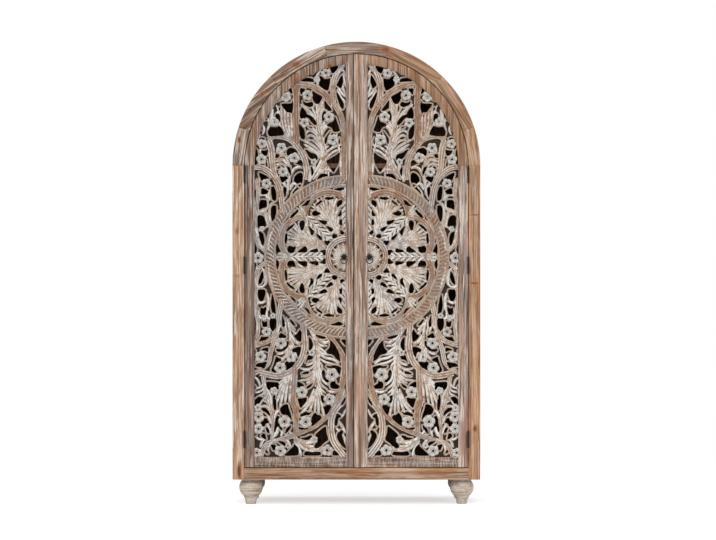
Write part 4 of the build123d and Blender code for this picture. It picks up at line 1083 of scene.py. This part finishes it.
# Holes in the medallion's upper half. The lower half has the same ones upside down.
WHEEL_HOLES = """
    44.7 50.6 41 53 38.3 56 36 57 37.5 52.7 41 51.3; 56 38.5 54 42 51 44.5 48.3 47.3 47.5 46.3 49.7 43.5 53.3 39.5;
    21.8 58.8 18.3 59.5 11.8 59.7 12.2 58.4 17.2 57.1 20.4 58; 30.8 50.6 28.3 54 24.4 56.6 23.3 56 26.9 53.3 29.4
    51.6; 9 53.8 6.9 56 4.1 56.9 4 53 6.5 51.3 8.3 49.5; 7.9 41.6 6.1 43.4 4.9 47.4 4.1 42 5.8 40.2; 6 37 4.1 37 3.9
    31 6.5 32.7; 5.4 27 3.9 25.6 1.5 23.8 3.3 22.1 5.4 23.4; 34 43.4 31.9 45.6 30 46.1 28.6 44.5 25 44 26.9 42.4 31
    41 33.6 42.4; 27.6 37 23.3 36.3 18.4 35.2 20.8 32 23.6 33.4; 19.7 30.6 16.9 29.9 12.6 27.7 14.4 24.9 17.6 27.4;
    13.6 21.3 11.5 23.4 8.3 20.9 10.4 19.1 13.3 18.4; 21.7 15.9 19 15.6 15.4 15.9 18.6 11.3 20.4 13; 11.9 8.8 9.4 12
    8.6 10.9 10.4 8.4; 46.5 33 44.7 36 41.9 36 41.5 32 43.3 26.6 44.7 26.3; 37.9 31.3 35 28.4 32 25.2 33.6 21.6 35.4
    21.3 35 24.9; 29.4 22.7 27.2 21.6 23.6 18.4 25.4 16.3 28.6 20.6; 59.4 25.6 58 28.4 54.7 31 51.5 32.9 51.9 31.3
    55.4 28.8 58.3 26; 59.9 24 59 22.7 59.1 17.4 60 12.7 61 14.9 60.6 20.6; 58.6 8.4 56.5 11 52.6 9.5 50.3 12.1 50.8
    7.7 52.6 4.1 57.6 4.5; 49 4.5 45.4 7.4 42.6 9.1 41.1 10.6 39.1 9.1 39.1 4.5; 36.9 4.9 34.4 7 31.1 7.4 29.7 8.8
    27.9 7.7 27.7 4.5; 26.3 5.2 23.3 6.9 20.1 6.6 20.6 1.6 22.6 2.4 23.6 4.9; 68.9 13.4 67.2 8.4 65.4 5.2 68.3 4.5
    69.4 1.6 69.9 9
"""
EDGE_HOLE = "14.5 3.4 12.9 1.3 13.6 -1.9 14.7 0.6"

# The medallion: a whole wheel of eight lobes, cut in half by the doors' meeting stiles.
WREATH_IN, WREATH_OUT = 70.5, 82
WREATH_MIDDLE = (WREATH_IN + WREATH_OUT) / 2
LOBE_AT, LOBE_RADIUS, JUNCTION_AT = 44.4, 23.6, 57.4
LOBES = {-67.5: 0.2, -22.5: 0.65, 22.5: 0.6, 67.5: 0.75}  # where each lobe points, and its warmth
SPOKES = (-90, -45, 0, 45, 90)
# How far behind the frame the crowns of the wheel and of its hub lie.
WHEEL_TOP, HUB_TOP = 0.0052, 0.0036

# Across a strip: share of its half width, height, how much wash is left there, and how far it lies out of painted
# shade, which darkens its grooves and edges.
STEM_CUT = [
    (-1, 0.0, 0.0, 0.05), (-0.94, 0.45, 0.9, 0.6), (-0.82, 0.76, 1.0, 1.0), (-0.66, 0.88, 0.8, 1.0),
    (-0.56, 0.9, 0.0, 1.0), (-0.32, 0.84, 0.0, 0.75), (-0.24, 0.58, 0.2, 0.25), (-0.16, 0.7, 1.0, 1.0),
    (0.02, 0.96, 0.9, 1.0), (0.12, 1.0, 0.1, 1.0), (0.36, 0.92, 0.0, 0.8), (0.46, 0.6, 0.2, 0.25),
    (0.56, 0.74, 1.0, 1.0), (0.74, 0.84, 0.9, 1.0), (0.84, 0.7, 0.0, 0.8), (0.95, 0.4, 0.1, 0.3),
    (1, 0.0, 0.0, 0.05),
]
# The wash on a rib's left edge and the dark of its right edge are a painted highlight and painted shade, as if lit
# from one side.
RIB_CUT = [
    (-1, 0.1, 0.2, 0.05), (-0.88, 0.5, 0.9, 0.8), (-0.66, 0.82, 1.0, 1.0), (-0.40, 0.95, 0.85, 1.0),
    (0.3, 1.0, 0.55, 1.0), (0.58, 0.74, 0.1, 0.75), (0.80, 0.3, 0.0, 0.08), (1, 0.05, 0.0, 0.0),
]
# A plainer strip with broad brown bands, for the warm stems and the medallion's lobes.
BAND_CUT = [
    (-1, 0.0, 0.0, 0.05), (-0.93, 0.5, 0.8, 0.7), (-0.8, 0.78, 0.9, 1.0), (-0.68, 0.88, 0.1, 1.0),
    (-0.3, 0.92, 0.0, 0.9), (-0.2, 0.62, 0.1, 0.3), (-0.1, 0.72, 0.9, 1.0), (0.04, 0.95, 0.3, 1.0),
    (0.42, 1.0, 0.0, 1.0), (0.56, 0.68, 0.1, 0.3), (0.68, 0.8, 0.9, 1.0), (0.88, 0.6, 0.5, 0.8),
    (1, 0.0, 0.0, 0.05),
]
RIM_CUT = [
    (-1, 0.0, 0.1, 0.1), (-0.8, 0.75, 0.9, 0.8), (-0.4, 0.98, 0.3, 1.0), (0.4, 0.98, 0.2, 0.9),
    (0.8, 0.75, 0.9, 0.8), (1, 0.0, 0.1, 0.1),
]
FLAT_CUT = [
    (-1, 0.3, 0.2, 0.3), (-0.5, 0.32, 0.3, 0.5), (0.5, 0.32, 0.3, 0.5), (1, 0.3, 0.2, 0.3),
]
# Outwards from a hole: squares from its edge, depth behind the frame, wash, and how far out of painted shade.
EDGE_CUT = [
    (0.0, 0.0120, 0.1, 0.2), (0.25, 0.0096, 0.5, 0.8), (0.75, 0.0086, 0.5, 1.0), (1.05, 0.0087, 0.2, 0.9),
    (1.6, 0.0100, 0.0, 0.5), (2.1, 0.0138, 0.0, 0.05),
]

# One side of a lobe's palmette: each leaflet's width and its line, outwards from the hub and aside.
PALMETTE = [
    (4.2, [(22, 0.6), (27, 3.2), (32, 6.4), (33, 9.5)]), (4.4, [(25, 0.8), (32, 4.2), (38, 8.6), (41, 14.5)]),
    (4.4, [(28, 0.8), (37, 4.6), (45, 9.6), (50, 16.8)]), (4.2, [(32, 0.8), (42, 4.2), (50.5, 8.4), (57.5, 14.6)]),
    (4.0, [(37, 0.8), (47, 3.4), (55.5, 6.4), (62, 9.6)]), (3.6, [(43, 0.7), (53, 2.2), (60, 3.6), (65.5, 4.6)]),
    (2.8, [(34, 2.4), (42, 6.6), (49, 11.4), (54.5, 16.4)]), (2.8, [(39, 2.2), (49, 5.4), (57, 9.6), (60.5, 12.6)]),
]
SPOKE_RIB = ((54, 0.3), (62, 1), (70, 1.5))

# The board's hidden edge goes this far under the door's lips, and lies at least this deep there.
LAP, LIP_DEPTH = 0.006, 0.0085
SUNK = 0.001  # how far the shapes on the board reach into it
WARM = 0.5  # the warmth from which wood is left brown


def numbers_in(text):
    """The numbers of each entry of a table."""
    return [[float(word) for word in entry.split()] for entry in text.split(";")]


def pairs_of(numbers):
    return list(zip(numbers[::2], numbers[1::2]))


def neighbours(items):
    """Each item with the one after it, the last with the first."""
    return zip(items, items[1:] + items[:1])


def polar(radius, degrees, about=(0.0, 0.0)):
    turn = math.radians(degrees)
    return Vector((about[0] + radius * math.cos(turn), about[1] + radius * math.sin(turn)))


def beside(out, aside, degrees):
    """A spot so far out along a line from the middle, and so far beside it."""
    return polar(out, degrees) + polar(aside, degrees + 90)


def arc_line(radius, start, end, step=2.0, about=(0.0, 0.0)):
    count = max(2, round(abs(math.radians(end - start)) * radius / step))
    return [polar(radius, start + (end - start) * n / count, about) for n in range(count + 1)]


def smooth_line(points, step=2.0):
    """A soft line through some points, in short equal strokes."""
    spots = [Vector(point) for point in points]
    ends = [2 * spots[0] - spots[1], *spots, 2 * spots[-1] - spots[-2]]
    fine = []
    for before, start, end, after in zip(ends, ends[1:], ends[2:], ends[3:]):
        for n in range(12):
            t = n / 12
            fine.append(
                0.5 * (2 * start + (end - before) * t + (2 * before - 5 * start + 4 * end - after) * t * t
                       + (3 * start - before - 3 * end + after) * t * t * t)
            )
    fine.append(spots[-1])
    length = sum((b - a).length for a, b in zip(fine, fine[1:]))
    count = max(2, round(length / step))
    line, gone, target = [fine[0]], 0.0, length / count
    for a, b in zip(fine, fine[1:]):
        stretch = (b - a).length
        while stretch > 0 and gone + stretch >= target * len(line) - 1e-9 and len(line) < count:
            line.append(a.lerp(b, (target * len(line) - gone) / stretch))
        gone += stretch
    return [*line, fine[-1]]


def twice_area(outline):
    """Above zero where the outline runs against the clock."""
    return sum(a.x * b.y - b.x * a.y for a, b in neighbours(outline))


def rounded_outline(numbers, grow=0.45, corner=0.18):
    """A hole's outline, opened a little and with its corners cut twice, as a gouge leaves them."""
    points = [Vector(pair) for pair in pairs_of(numbers)]
    outwards = math.copysign(grow, twice_area(points))
    grown = []
    for n, middle in enumerate(points):
        before, after = middle - points[n - 1], points[(n + 1) % len(points)] - middle
        outward = Vector((before.y, -before.x)).normalized() + Vector((after.y, -after.x)).normalized()
        grown.append(middle + outward.normalized() * outwards)
    for _ in range(2):
        grown = [spot for a, b in neighbours(grown) for spot in (a.lerp(b, corner), a.lerp(b, 1 - corner))]
    return grown


def within(spot, outline):
    inside = False
    for a, b in neighbours(outline):
        if (a.y > spot[1]) != (b.y > spot[1]) and spot[0] < (b.x - a.x) * (spot[1] - a.y) / (b.y - a.y) + a.x:
            inside = not inside
    return inside


def hole_outlines():
    """Every hole of a door, each running the same way round."""
    wheel = numbers_in(WHEEL_HOLES)
    outlines = [rounded_outline(numbers) for numbers in (*numbers_in(HOLES), *wheel, *numbers_in(EDGE_HOLE))]
    for numbers in wheel:
        outlines.append([Vector((spot.x, -spot.y)) for spot in rounded_outline(numbers)])
    return [outline if twice_area(outline) > 0 else outline[::-1] for outline in outlines]


def hole_finder(outlines):
    """What gives the outline that a spot lies in, or nothing."""
    boxes = [
        (min(p.x for p in outline), max(p.x for p in outline), min(p.y for p in outline), max(p.y for p in outline))
        for outline in outlines
    ]

    def hole_at(spot):
        for (left, right, low, high), outline in zip(boxes, outlines):
            if left < spot[0] < right and low < spot[1] < high and within(spot, outline):
                return outline
        return None

    return hole_at


def nearest_edge(spot, outline):
    """The nearest spot on an outline, and how far away it is."""
    near, best = None, math.inf
    for a, b in neighbours(outline):
        edge = b - a
        t = max(0.0, min(1.0, (spot - a).dot(edge) / max(edge.length_squared, 1e-9)))
        gap = (a + edge * t - spot).length
        if gap < best:
            near, best = a + edge * t, gap
    return near, best


class Relief:
    """The cut shapes of one door, in squares across and up and metres behind the frame.

    Each shape is drawn as a worked front sheet, then given its back and its walls."""

    def __init__(self, back):
        self.back = back
        self.points, self.cut, self.sheet, self.faces = [], [], [], []

    def point(self, spot, depth, cut):
        self.points.append((spot[0], spot[1], depth))
        self.cut.append(cut)
        return len(self.points) - 1

    def weave(self, rows, closed=False):
        """Joins each row of points to the next."""
        for one, two in neighbours(rows) if closed else zip(rows, rows[1:]):
            for n in range(len(one) - 1):
                self.sheet.append((one[n], two[n], two[n + 1], one[n + 1]))

    def strip(self, line, widths, section, top, warmth, drop=None):
        """A worked strip along a line."""
        rows = []
        last = len(line) - 1
        for n, middle in enumerate(line):
            forward = (line[min(n + 1, last)] - line[max(n - 1, 0)]).normalized()
            sideways = Vector((-forward.y, forward.x))
            half = widths[n] / 2
            lift = min(1.0, 0.35 + half / 2.6) - (drop[n] if drop else 0.0)
            row = []
            for share, height, wash, unshaded in section:
                depth = self.back + (top - self.back) * height * lift
                row.append(self.point(middle + sideways * half * share, depth, (wash, warmth, unshaded)))
            rows.append(row)
        self.weave(rows)

    def rib(self, wide, warmth, points, top):
        """One rib of a leaf, swelling from its foot and rounded at its tip."""
        if warmth < WARM:
            warmth -= 0.35  # only ribs of warm wood stay brown
        line = smooth_line(points, 1.6)
        widths, drop = [], []
        for n in range(len(line)):
            t = n / (len(line) - 1)
            widths.append(wide * min(0.55 + 1.6 * t, 1.0, 0.4 + 1.44 * math.sqrt(1 - t)))
            drop.append(0.16 * max(0.0, 1 - t / 0.35) + 0.12 * t)
        self.strip(line, widths, RIB_CUT, top, warmth, drop)

    def moulding(self, outline):
        """A soft raised edge round a hole."""
        rows = []
        for n, middle in enumerate(outline):
            forward = (outline[(n + 1) % len(outline)] - outline[n - 1]).normalized()
            outward = Vector((forward.y, -forward.x))
            row = []
            for offset, depth, wash, unshaded in EDGE_CUT:
                row.append(self.point(middle + outward * offset, depth, (wash, -0.1, unshaded)))
            rows.append(row)
        self.weave(rows, closed=True)

    def open_holes(self, hole_at):
        """Draws the sheet back to the holes' edges and takes away what still lies across them."""
        for number, (across, up, depth) in enumerate(self.points):
            outline = hole_at((across, up))
            if outline:
                near, gap = nearest_edge(Vector((across, up)), outline)
                wash, warmth, unshaded = self.cut[number]
                self.points[number] = (near.x, near.y, depth + 0.0006 * min(gap, 3))
                self.cut[number] = (max(wash, 0.4), warmth, unshaded * 0.85)
        kept = []
        for face in self.sheet:
            across = sum(self.points[n][0] for n in face) / len(face)
            up = sum(self.points[n][1] for n in face) / len(face)
            if not hole_at((across, up)):
                kept.append(face)
        self.sheet = kept

    def close(self, back_unshaded=0.05):
        """Gives every sheet its back and its walls."""
        twin = {}
        for n in sorted({n for face in self.sheet for n in face}):
            across, up, depth = self.points[n]
            # The back and the walls get painted shade, near black by default.
            cut = (0.2, self.cut[n][1], back_unshaded)
            twin[n] = self.point((across, up), max(self.back, depth + 0.0002), cut)
        uses = Counter(frozenset(edge) for face in self.sheet for edge in neighbours(face))
        for face in self.sheet:
            self.faces.append(face)
            self.faces.append(tuple(twin[n] for n in reversed(face)))
            for one, two in neighbours(face):
                if uses[frozenset((one, two))] == 1:
                    self.faces.append((two, one, twin[one], twin[two]))
        self.sheet = []

    def plate(self, side, front, holes):
        """The ground board with the holes cut through it, reaching under the door's lips."""
        middle, reach = -abs(PANEL_EDGE[side]) / SQUARE, (PANEL_RADIUS - abs(PANEL_EDGE[side])) / SQUARE
        foot, spring = (PANEL_FOOT - PULL_Z) / SQUARE, (SPRING_Z - PULL_Z) / SQUARE

        def opening(grow):
            radius = PANEL_RADIUS / SQUARE + grow
            start = math.degrees(math.acos(min(1.0, (-grow - middle) / radius)))
            curve = arc_line(radius, 0, start, 3.0, (middle, spring))
            return [Vector((-grow, foot - grow)), Vector((reach + grow, foot - grow)), *curve]

        board, shown = opening(1.6), opening(-0.5)
        points, edges = [], []
        for outline in (board, shown, *holes):
            numbers = list(range(len(points), len(points) + len(outline)))
            points += outline
            edges += neighbours(numbers)
        flat, _, triangles, _, _, _ = delaunay_2d_cdt(points, edges, [], 0, 1e-5)
        hole_at = hole_finder(holes)
        made = {}
        for triangle in triangles:
            spot = sum((flat[n] for n in triangle), Vector((0, 0))) / 3
            if not within(spot, board) or (hole_at(spot) and within(spot, shown)):
                continue
            for n in triangle:
                if n not in made:
                    # The ground between the shapes is left in painted shade.
                    made[n] = self.point(flat[n], front, (0.0, 0.5, 0.1))
            self.sheet.append(tuple(made[n] for n in triangle))

    def place(self, side, spot):
        """A drawn point in the cabinet's frame, kept inside the panel and under the door's lips."""
        sign, (across, up, depth) = SIDES[side], spot
        x, z = PANEL_EDGE[side] + sign * across * SQUARE, PULL_Z + up * SQUARE
        radius = math.hypot(x, z - SPRING_Z) if z > SPRING_Z else abs(x)
        beyond = max(sign * (PANEL_EDGE[side] - x), radius - PANEL_RADIUS, PANEL_FOOT - z)
        if beyond > 0:
            depth = max(depth, LIP_DEPTH)
        x = sign * max(sign * x, abs(PANEL_EDGE[side]) - LAP)
        z = max(z, PANEL_FOOT - LAP)
        if radius > PANEL_RADIUS + LAP:
            shrink = (PANEL_RADIUS + LAP) / radius
            x, z = x * shrink, (SPRING_Z + (z - SPRING_Z) * shrink) if z > SPRING_Z else z
        return x, FACE_Y + depth, z

    def mesh(self, name, side):
        return mesh_of(name, [self.place(side, point) for point in self.points], self.faces, self.cut, 50)


def carve_foliage(sizes, holes):
    """The stems and leaves, each a strip with its own fluting, and the raised edges of the holes."""
    relief = Relief(sizes.ground_depth + SUNK)
    for start, end, warmth, *numbers in numbers_in(STEMS):
        line = smooth_line(pairs_of(numbers), 1.5)
        widths = [start + (end - start) * n / (len(line) - 1) for n in range(len(line))]
        relief.strip(line, widths, BAND_CUT if warmth > WARM else STEM_CUT, sizes.stem_top, warmth)
    for leaf in RIBS.values():
        for wide, warmth, *numbers in numbers_in(leaf):
            relief.rib(wide, warmth, pairs_of(numbers), sizes.leaf_top)
    relief.open_holes(hole_finder(holes))
    for outline in holes:
        relief.moulding(outline)
    relief.close()
    return relief


def carve_medallion(sizes, holes):
    """Rims, lobes, spokes, palmettes and hub of half the wheel."""
    relief = Relief(sizes.ground_depth + SUNK)

    def ring(radius, wide, section, warmth, top=WHEEL_TOP, start=-92, end=92, about=(0.0, 0.0)):
        line = arc_line(radius, start, end, 1.3, about)
        relief.strip(line, [wide] * len(line), section, top, warmth)

    ring(WREATH_OUT - 1.2, 2.6, RIM_CUT, 0.3)
    ring(WREATH_IN + 1.0, 2.6, RIM_CUT, 0.3)
    ring(WREATH_MIDDLE, 9.5, FLAT_CUT, 0.5)
    for lobe, warmth in LOBES.items():
        about = polar(LOBE_AT, lobe)
        ring(LOBE_RADIUS, 6.2, BAND_CUT, warmth, start=lobe - 68.6, end=lobe + 68.6, about=about)
        for side in SIDES.values():
            for wide, leaflet in PALMETTE:
                points = [beside(out, side * aside, lobe) for out, aside in leaflet]
                relief.rib(wide, 0.25, points, WHEEL_TOP + 0.0002)
        relief.rib(3.4, 0.3, [polar(out, lobe) for out in (24, 40, 66)], WHEEL_TOP - 0.0003)
    for spoke in SPOKES:
        for aside in (-2.4, 0.0, 2.4):
            relief.rib(3.4, 0.1, [beside(out, aside * share, spoke) for out, share in SPOKE_RIB], WHEEL_TOP)
        for n in range(6):
            out = JUNCTION_AT - 0.5 - 5.8 * n
            for side in SIDES.values():
                leaflet = ((out, 0.4), (out - 3.5, 2.2), (out - 7.2, 4.9))
                points = [beside(away, side * aside, spoke) for away, aside in leaflet]
                relief.rib(3.2, 0.0, points, WHEEL_TOP + 0.0002 * n)
        relief.rib(2.6, 0.2, [polar(out, spoke) for out in (58, 40, 22)], WHEEL_TOP - 0.0006)
    ring(8.2, 13.4, FLAT_CUT, 0.2, top=0.0005)
    ring(18.2, 6.2, STEM_CUT, 0.4, top=HUB_TOP)
    for n in range(17):
        turn, reach = -90 + 11.25 * n, 14.4 if n % 2 else 12.4
        relief.rib(3.0, 0.34, [polar(2.5, turn), polar(8, turn), polar(reach, turn)], HUB_TOP + 0.001)
    relief.open_holes(hole_finder(holes))
    relief.close()
    return relief


class CABINET_OT_carving(bpy.types.Operator):
    """Cuts both doors' pierced ground, then the stems, leaves and medallion on it"""

    bl_idname = "cabinet.carving"
    bl_label = "Carved Panels"

    def execute(self, context):
        sizes = context.scene.cabinet_sizes
        holes = hole_outlines()
        foliage, medallion = carve_foliage(sizes, holes), carve_medallion(sizes, holes)
        for side in SIDES:
            ground = Relief(sizes.panel_back)
            ground.plate(side, sizes.ground_depth, holes)
            ground.close(back_unshaded=0.5)
            reliefs = {"ground": ground, "foliage": foliage, "medallion": medallion}
            for name, relief in reliefs.items():
                mesh = relief.mesh(f"carved_{name}_{side}", side)
                nodes = ["carved_panel_" + side] if name == "ground" else []
                new_piece(mesh.name, mesh, "carving", side + "_door", nodes)
        return {"FINISHED"}


# ---------------------------------------------------------------- flowers and wreath, repeated by nodes
# From the middle outwards: radius, height, wash, and how far out of painted shade, which fills the drilled middle and
# the petals' foot.
FLOWER_RINGS = [
    (0.0, -0.10, 0.0, 0.0), (0.16, -0.08, 0.0, 0.0), (0.20, 0.20, 0.2, 0.3), (0.28, 0.32, 0.8, 0.9),
    (0.37, 0.22, 0.1, 0.33), (0.48, 0.28, 0.3, 0.8), (0.66, 0.42, 0.6, 1.0), (0.84, 0.38, 0.3, 1.0),
    (0.95, 0.26, 0.9, 0.9), (1.0, 0.0, 0.1, 0.1), (1.0, -0.35, 0.0, 0.0),
]
FLOWER_TURNS, FLOWER_CROWN, FLOWER_RISE = 40, 0.42, 0.8
# Along a ridge, its swell there; across it, its height, wash, and how far out of painted shade, which fills the cuts
# between the ridges.
GOUGE_SWELL = [(-1.0, 0.0), (-0.75, 0.7), (-0.25, 1.0), (0.25, 1.0), (0.75, 0.7), (1.0, 0.0)]
GOUGE_CUT = [
    (-1, -0.6, 0.0, 0.0), (-0.7, 0.4, 1.2, 0.9), (-0.1, 1.0, 0.5, 1.0), (0.7, 0.4, 0.0, 0.6), (1, -0.6, 0.0, 0.0),
]
GOUGE_DEPTH, GOUGE_RISE = 0.0115, 1.5
WREATH_WAY = math.pi * 76.2  # squares round half of the wreath


def flower_mesh():
    """One five-petalled flower of radius one, facing the front, with a drilled middle."""
    points, faces, cut = [], [], []
    for share, height, wash, unshaded in FLOWER_RINGS:
        for n in range(FLOWER_TURNS if share else 1):
            turn = 2 * math.pi * n / FLOWER_TURNS
            notch = abs(math.sin(2.5 * turn))
            petal = 1 - 0.15 * notch**4 * min(1.0, share / 0.6)
            level = height - 0.16 * notch**8 * (0.42 < share < 1.0) * (height > 0)
            points.append((share * petal * math.cos(turn), -level, share * petal * math.sin(turn)))
            # Painted shade in the notches between the petals.
            cut.append((wash * (1 - notch**8), -0.6, unshaded - 0.45 * notch**10 * (0.4 < share < 1.0)))
    rings = [range(first, first + FLOWER_TURNS) for first in range(1, len(points), FLOWER_TURNS)]
    for n in range(FLOWER_TURNS):
        faces.append((0, rings[0][n], rings[0][(n + 1) % FLOWER_TURNS]))
    for low, high in zip(rings, rings[1:]):
        for n in range(FLOWER_TURNS):
            after = (n + 1) % FLOWER_TURNS
            faces.append((low[n], high[n], high[after], low[after]))
    faces.append(tuple(reversed(rings[-1])))
    mesh = bpy.data.meshes.new("flower")
    mesh.from_pydata(points, [], faces)
    store(mesh, "cut", cut)
    soften(mesh, 60)
    return mesh


def gouge_mesh():
    """One slanted ridge of the wreath: long along X, facing the front."""
    points, faces, cut = [], [], []
    for along, swell in GOUGE_SWELL:
        for aside, height, wash, unshaded in GOUGE_CUT:
            points.append((along, -(height * (0.35 + 0.65 * swell)), aside * max(swell, 0.12) + 0.7 * along * along))
            cut.append((wash, 0.55, unshaded))
    wide = len(GOUGE_CUT)
    rows = [range(first, first + wide) for first in range(0, len(points), wide)]
    for low, high in zip(rows, rows[1:]):
        for n in range(wide):
            after = (n + 1) % wide
            faces.append((low[n], low[after], high[after], high[n]))
    faces += [tuple(reversed(rows[0])), tuple(rows[-1])]
    return mesh_of("gouge", points, faces, cut, 60)


def flower_places(sizes):
    """Of each flower, the drawn point of its middle, its size and its turn."""
    places = []
    for number, (across, up, radius) in enumerate(FLOWERS):
        depth = sizes.flower_top + FLOWER_CROWN * radius * SQUARE * FLOWER_RISE
        size = Vector((radius, radius * FLOWER_RISE, radius)) * SQUARE
        places.append(((across, up, depth), size, 0.9 * number))
    return places


def gouge_places(sizes):
    """The same of each ridge round the wreath."""
    count, places = sizes.wreath_gouges, []
    long, wide = (WREATH_OUT - WREATH_IN) / 2 * 1.02, WREATH_WAY / count * 0.34
    for n in range(count):
        degrees = -90 + 180 * (n + 0.5) / count
        size = Vector((long, GOUGE_RISE, wide)) * SQUARE
        places.append(((*polar(WREATH_MIDDLE, degrees), GOUGE_DEPTH), size, math.radians(degrees) + sizes.gouge_slant))
    return places


class Recipe(Tree):
    """A tree of geometry nodes with named inputs."""

    def __init__(self, name, inputs):
        self.tree = bpy.data.node_groups.new(name, "GeometryNodeTree")
        super().__init__(self.tree)
        self.sockets = {}
        for label, kind in inputs.items():
            made = self.tree.interface.new_socket(label, in_out="INPUT", socket_type=kind)
            self.sockets[label] = made.identifier
        self.tree.interface.new_socket("Geometry", in_out="OUTPUT", socket_type="NodeSocketGeometry")
        self.given = self.nodes.new("NodeGroupInput")

    def input(self, label):
        return Value(self, next(s for s in self.given.outputs if s.identifier == self.sockets[label]))

    def finish(self, geometry, material):
        """Ends the tree: every instance made real, then given its material."""
        real = self.node("GeometryNodeRealizeInstances", {}, {"Geometry": geometry})
        dressed = self.node("GeometryNodeSetMaterial", {}, {"Geometry": real, "Material": material})
        self.end("NodeGroupOutput", "Geometry", dressed)

    def grow(self, name, seed_mesh, values):
        """Runs the tree on a mesh of points and returns the result as a plain mesh."""
        seed = bpy.data.objects.new(name + "_seed", seed_mesh)
        bpy.context.scene.collection.objects.link(seed)
        modifier = seed.modifiers.new("grow", "NODES")
        modifier.node_group = self.tree
        for label, value in values.items():
            modifier[self.sockets[label]] = value
        bpy.context.view_layer.update()
        shape = seed.evaluated_get(bpy.context.evaluated_depsgraph_get())
        mesh = bpy.data.meshes.new_from_object(shape)
        mesh.name = name
        bpy.data.objects.remove(seed)
        return mesh


def repeat_recipe():
    """Stands one small shape on every point, scaled and turned as the point says."""
    recipe = Recipe("repeat_on_points", {
        "Points": "NodeSocketGeometry", "Shape": "NodeSocketObject", "Size": "NodeSocketFloat",
        "Finish": "NodeSocketMaterial",
    })
    shape = recipe.node("GeometryNodeObjectInfo", {}, {"Object": recipe.input("Shape")}, output="Geometry")
    size = recipe.node("GeometryNodeInputNamedAttribute", {"data_type": "FLOAT_VECTOR"}, {"Name": "size"})
    factors = {"Vector": size, "Scale": recipe.input("Size")}
    scale = recipe.node("ShaderNodeVectorMath", {"operation": "SCALE"}, factors)
    turn = recipe.node("GeometryNodeInputNamedAttribute", {"data_type": "FLOAT"}, {"Name": "turn"})
    rotation = recipe.node("ShaderNodeCombineXYZ", {}, {"Y": turn})
    placed = recipe.node("GeometryNodeInstanceOnPoints", {}, {
        "Points": recipe.input("Points"), "Instance": shape, "Rotation": rotation, "Scale": scale,
    })
    recipe.finish(placed, recipe.input("Finish"))
    return recipe


class CABINET_OT_repeats(bpy.types.Operator):
    """Sets the flowers on their stems and the slanted cuts round the wreath"""

    bl_idname = "cabinet.repeats"
    bl_label = "Flowers and Wreath"

    def execute(self, context):
        sizes = context.scene.cabinet_sizes
        recipe = repeat_recipe()
        sets = {"flower": (flower_mesh(), flower_places(sizes)), "gouge": (gouge_mesh(), gouge_places(sizes))}
        shapes = {}
        for name, (mesh, _) in sets.items():
            shapes[name] = bpy.data.objects.new(name, mesh)
            context.scene.collection.objects.link(shapes[name])
        for side, sign in SIDES.items():
            for name, (_, places) in sets.items():
                spots, turns = [], []
                for (across, up, depth), _, turn in places:
                    x = PANEL_EDGE[side] + sign * across * SQUARE
                    spots.append((x, FACE_Y + depth, PULL_Z + up * SQUARE))
                    turns.append(-turn if sign > 0 else math.pi + turn)
                points = bpy.data.meshes.new(name + "_points")
                points.from_pydata(spots, [], [])
                store(points, "size", [tuple(size) for _, size, _ in places])
                store(points, "turn", turns)
                values = {"Shape": shapes[name], "Size": 1.0, "Finish": finish_for("carving")}
                title = f"{name}s_{side}"
                new_piece(title, recipe.grow(title, points, values), "carving", side + "_door")
        for shape in shapes.values():
            bpy.data.objects.remove(shape)
        return {"FINISHED"}


class CABINET_PT_steps(bpy.types.Panel):
    """Lists the steps that dress the cabinet, in order, and their settings"""

    bl_idname = "CABINET_PT_steps"
    bl_label = "Carved Arched Cabinet"
    bl_space_type = "VIEW_3D"
    bl_region_type = "UI"
    bl_category = "Cabinet"

    def draw(self, context):
        for step in STEPS:
            self.layout.operator(step.bl_idname)
        for settings in (context.scene.cabinet_sizes, context.scene.cabinet_colours):
            box = self.layout.box()
            for name in settings.bl_rna.properties.keys():
                if name not in ("rna_type", "name"):
                    box.prop(settings, name)


STEPS = [
    CABINET_OT_stage, CABINET_OT_boards, CABINET_OT_plain_nodes, CABINET_OT_feet, CABINET_OT_hinges, CABINET_OT_pulls,
    CABINET_OT_carving, CABINET_OT_repeats,
]
CLASSES = [CabinetSizes, CabinetColours, *STEPS, CABINET_PT_steps]


def register():
    for kind in CLASSES:
        bpy.utils.register_class(kind)
    bpy.types.Scene.cabinet_sizes = PointerProperty(type=CabinetSizes)
    bpy.types.Scene.cabinet_colours = PointerProperty(type=CabinetColours)


def unregister():
    del bpy.types.Scene.cabinet_colours
    del bpy.types.Scene.cabinet_sizes
    for kind in reversed(CLASSES):
        bpy.utils.unregister_class(kind)


def main():
    register()
    bpy.ops.cabinet.stage()
    bpy.ops.cabinet.boards()
    bpy.ops.cabinet.plain_nodes()
    bpy.ops.cabinet.feet()
    bpy.ops.cabinet.hinges()
    bpy.ops.cabinet.pulls()
    bpy.ops.cabinet.carving()
    bpy.ops.cabinet.repeats()


if __name__ == "__main__":
    main()
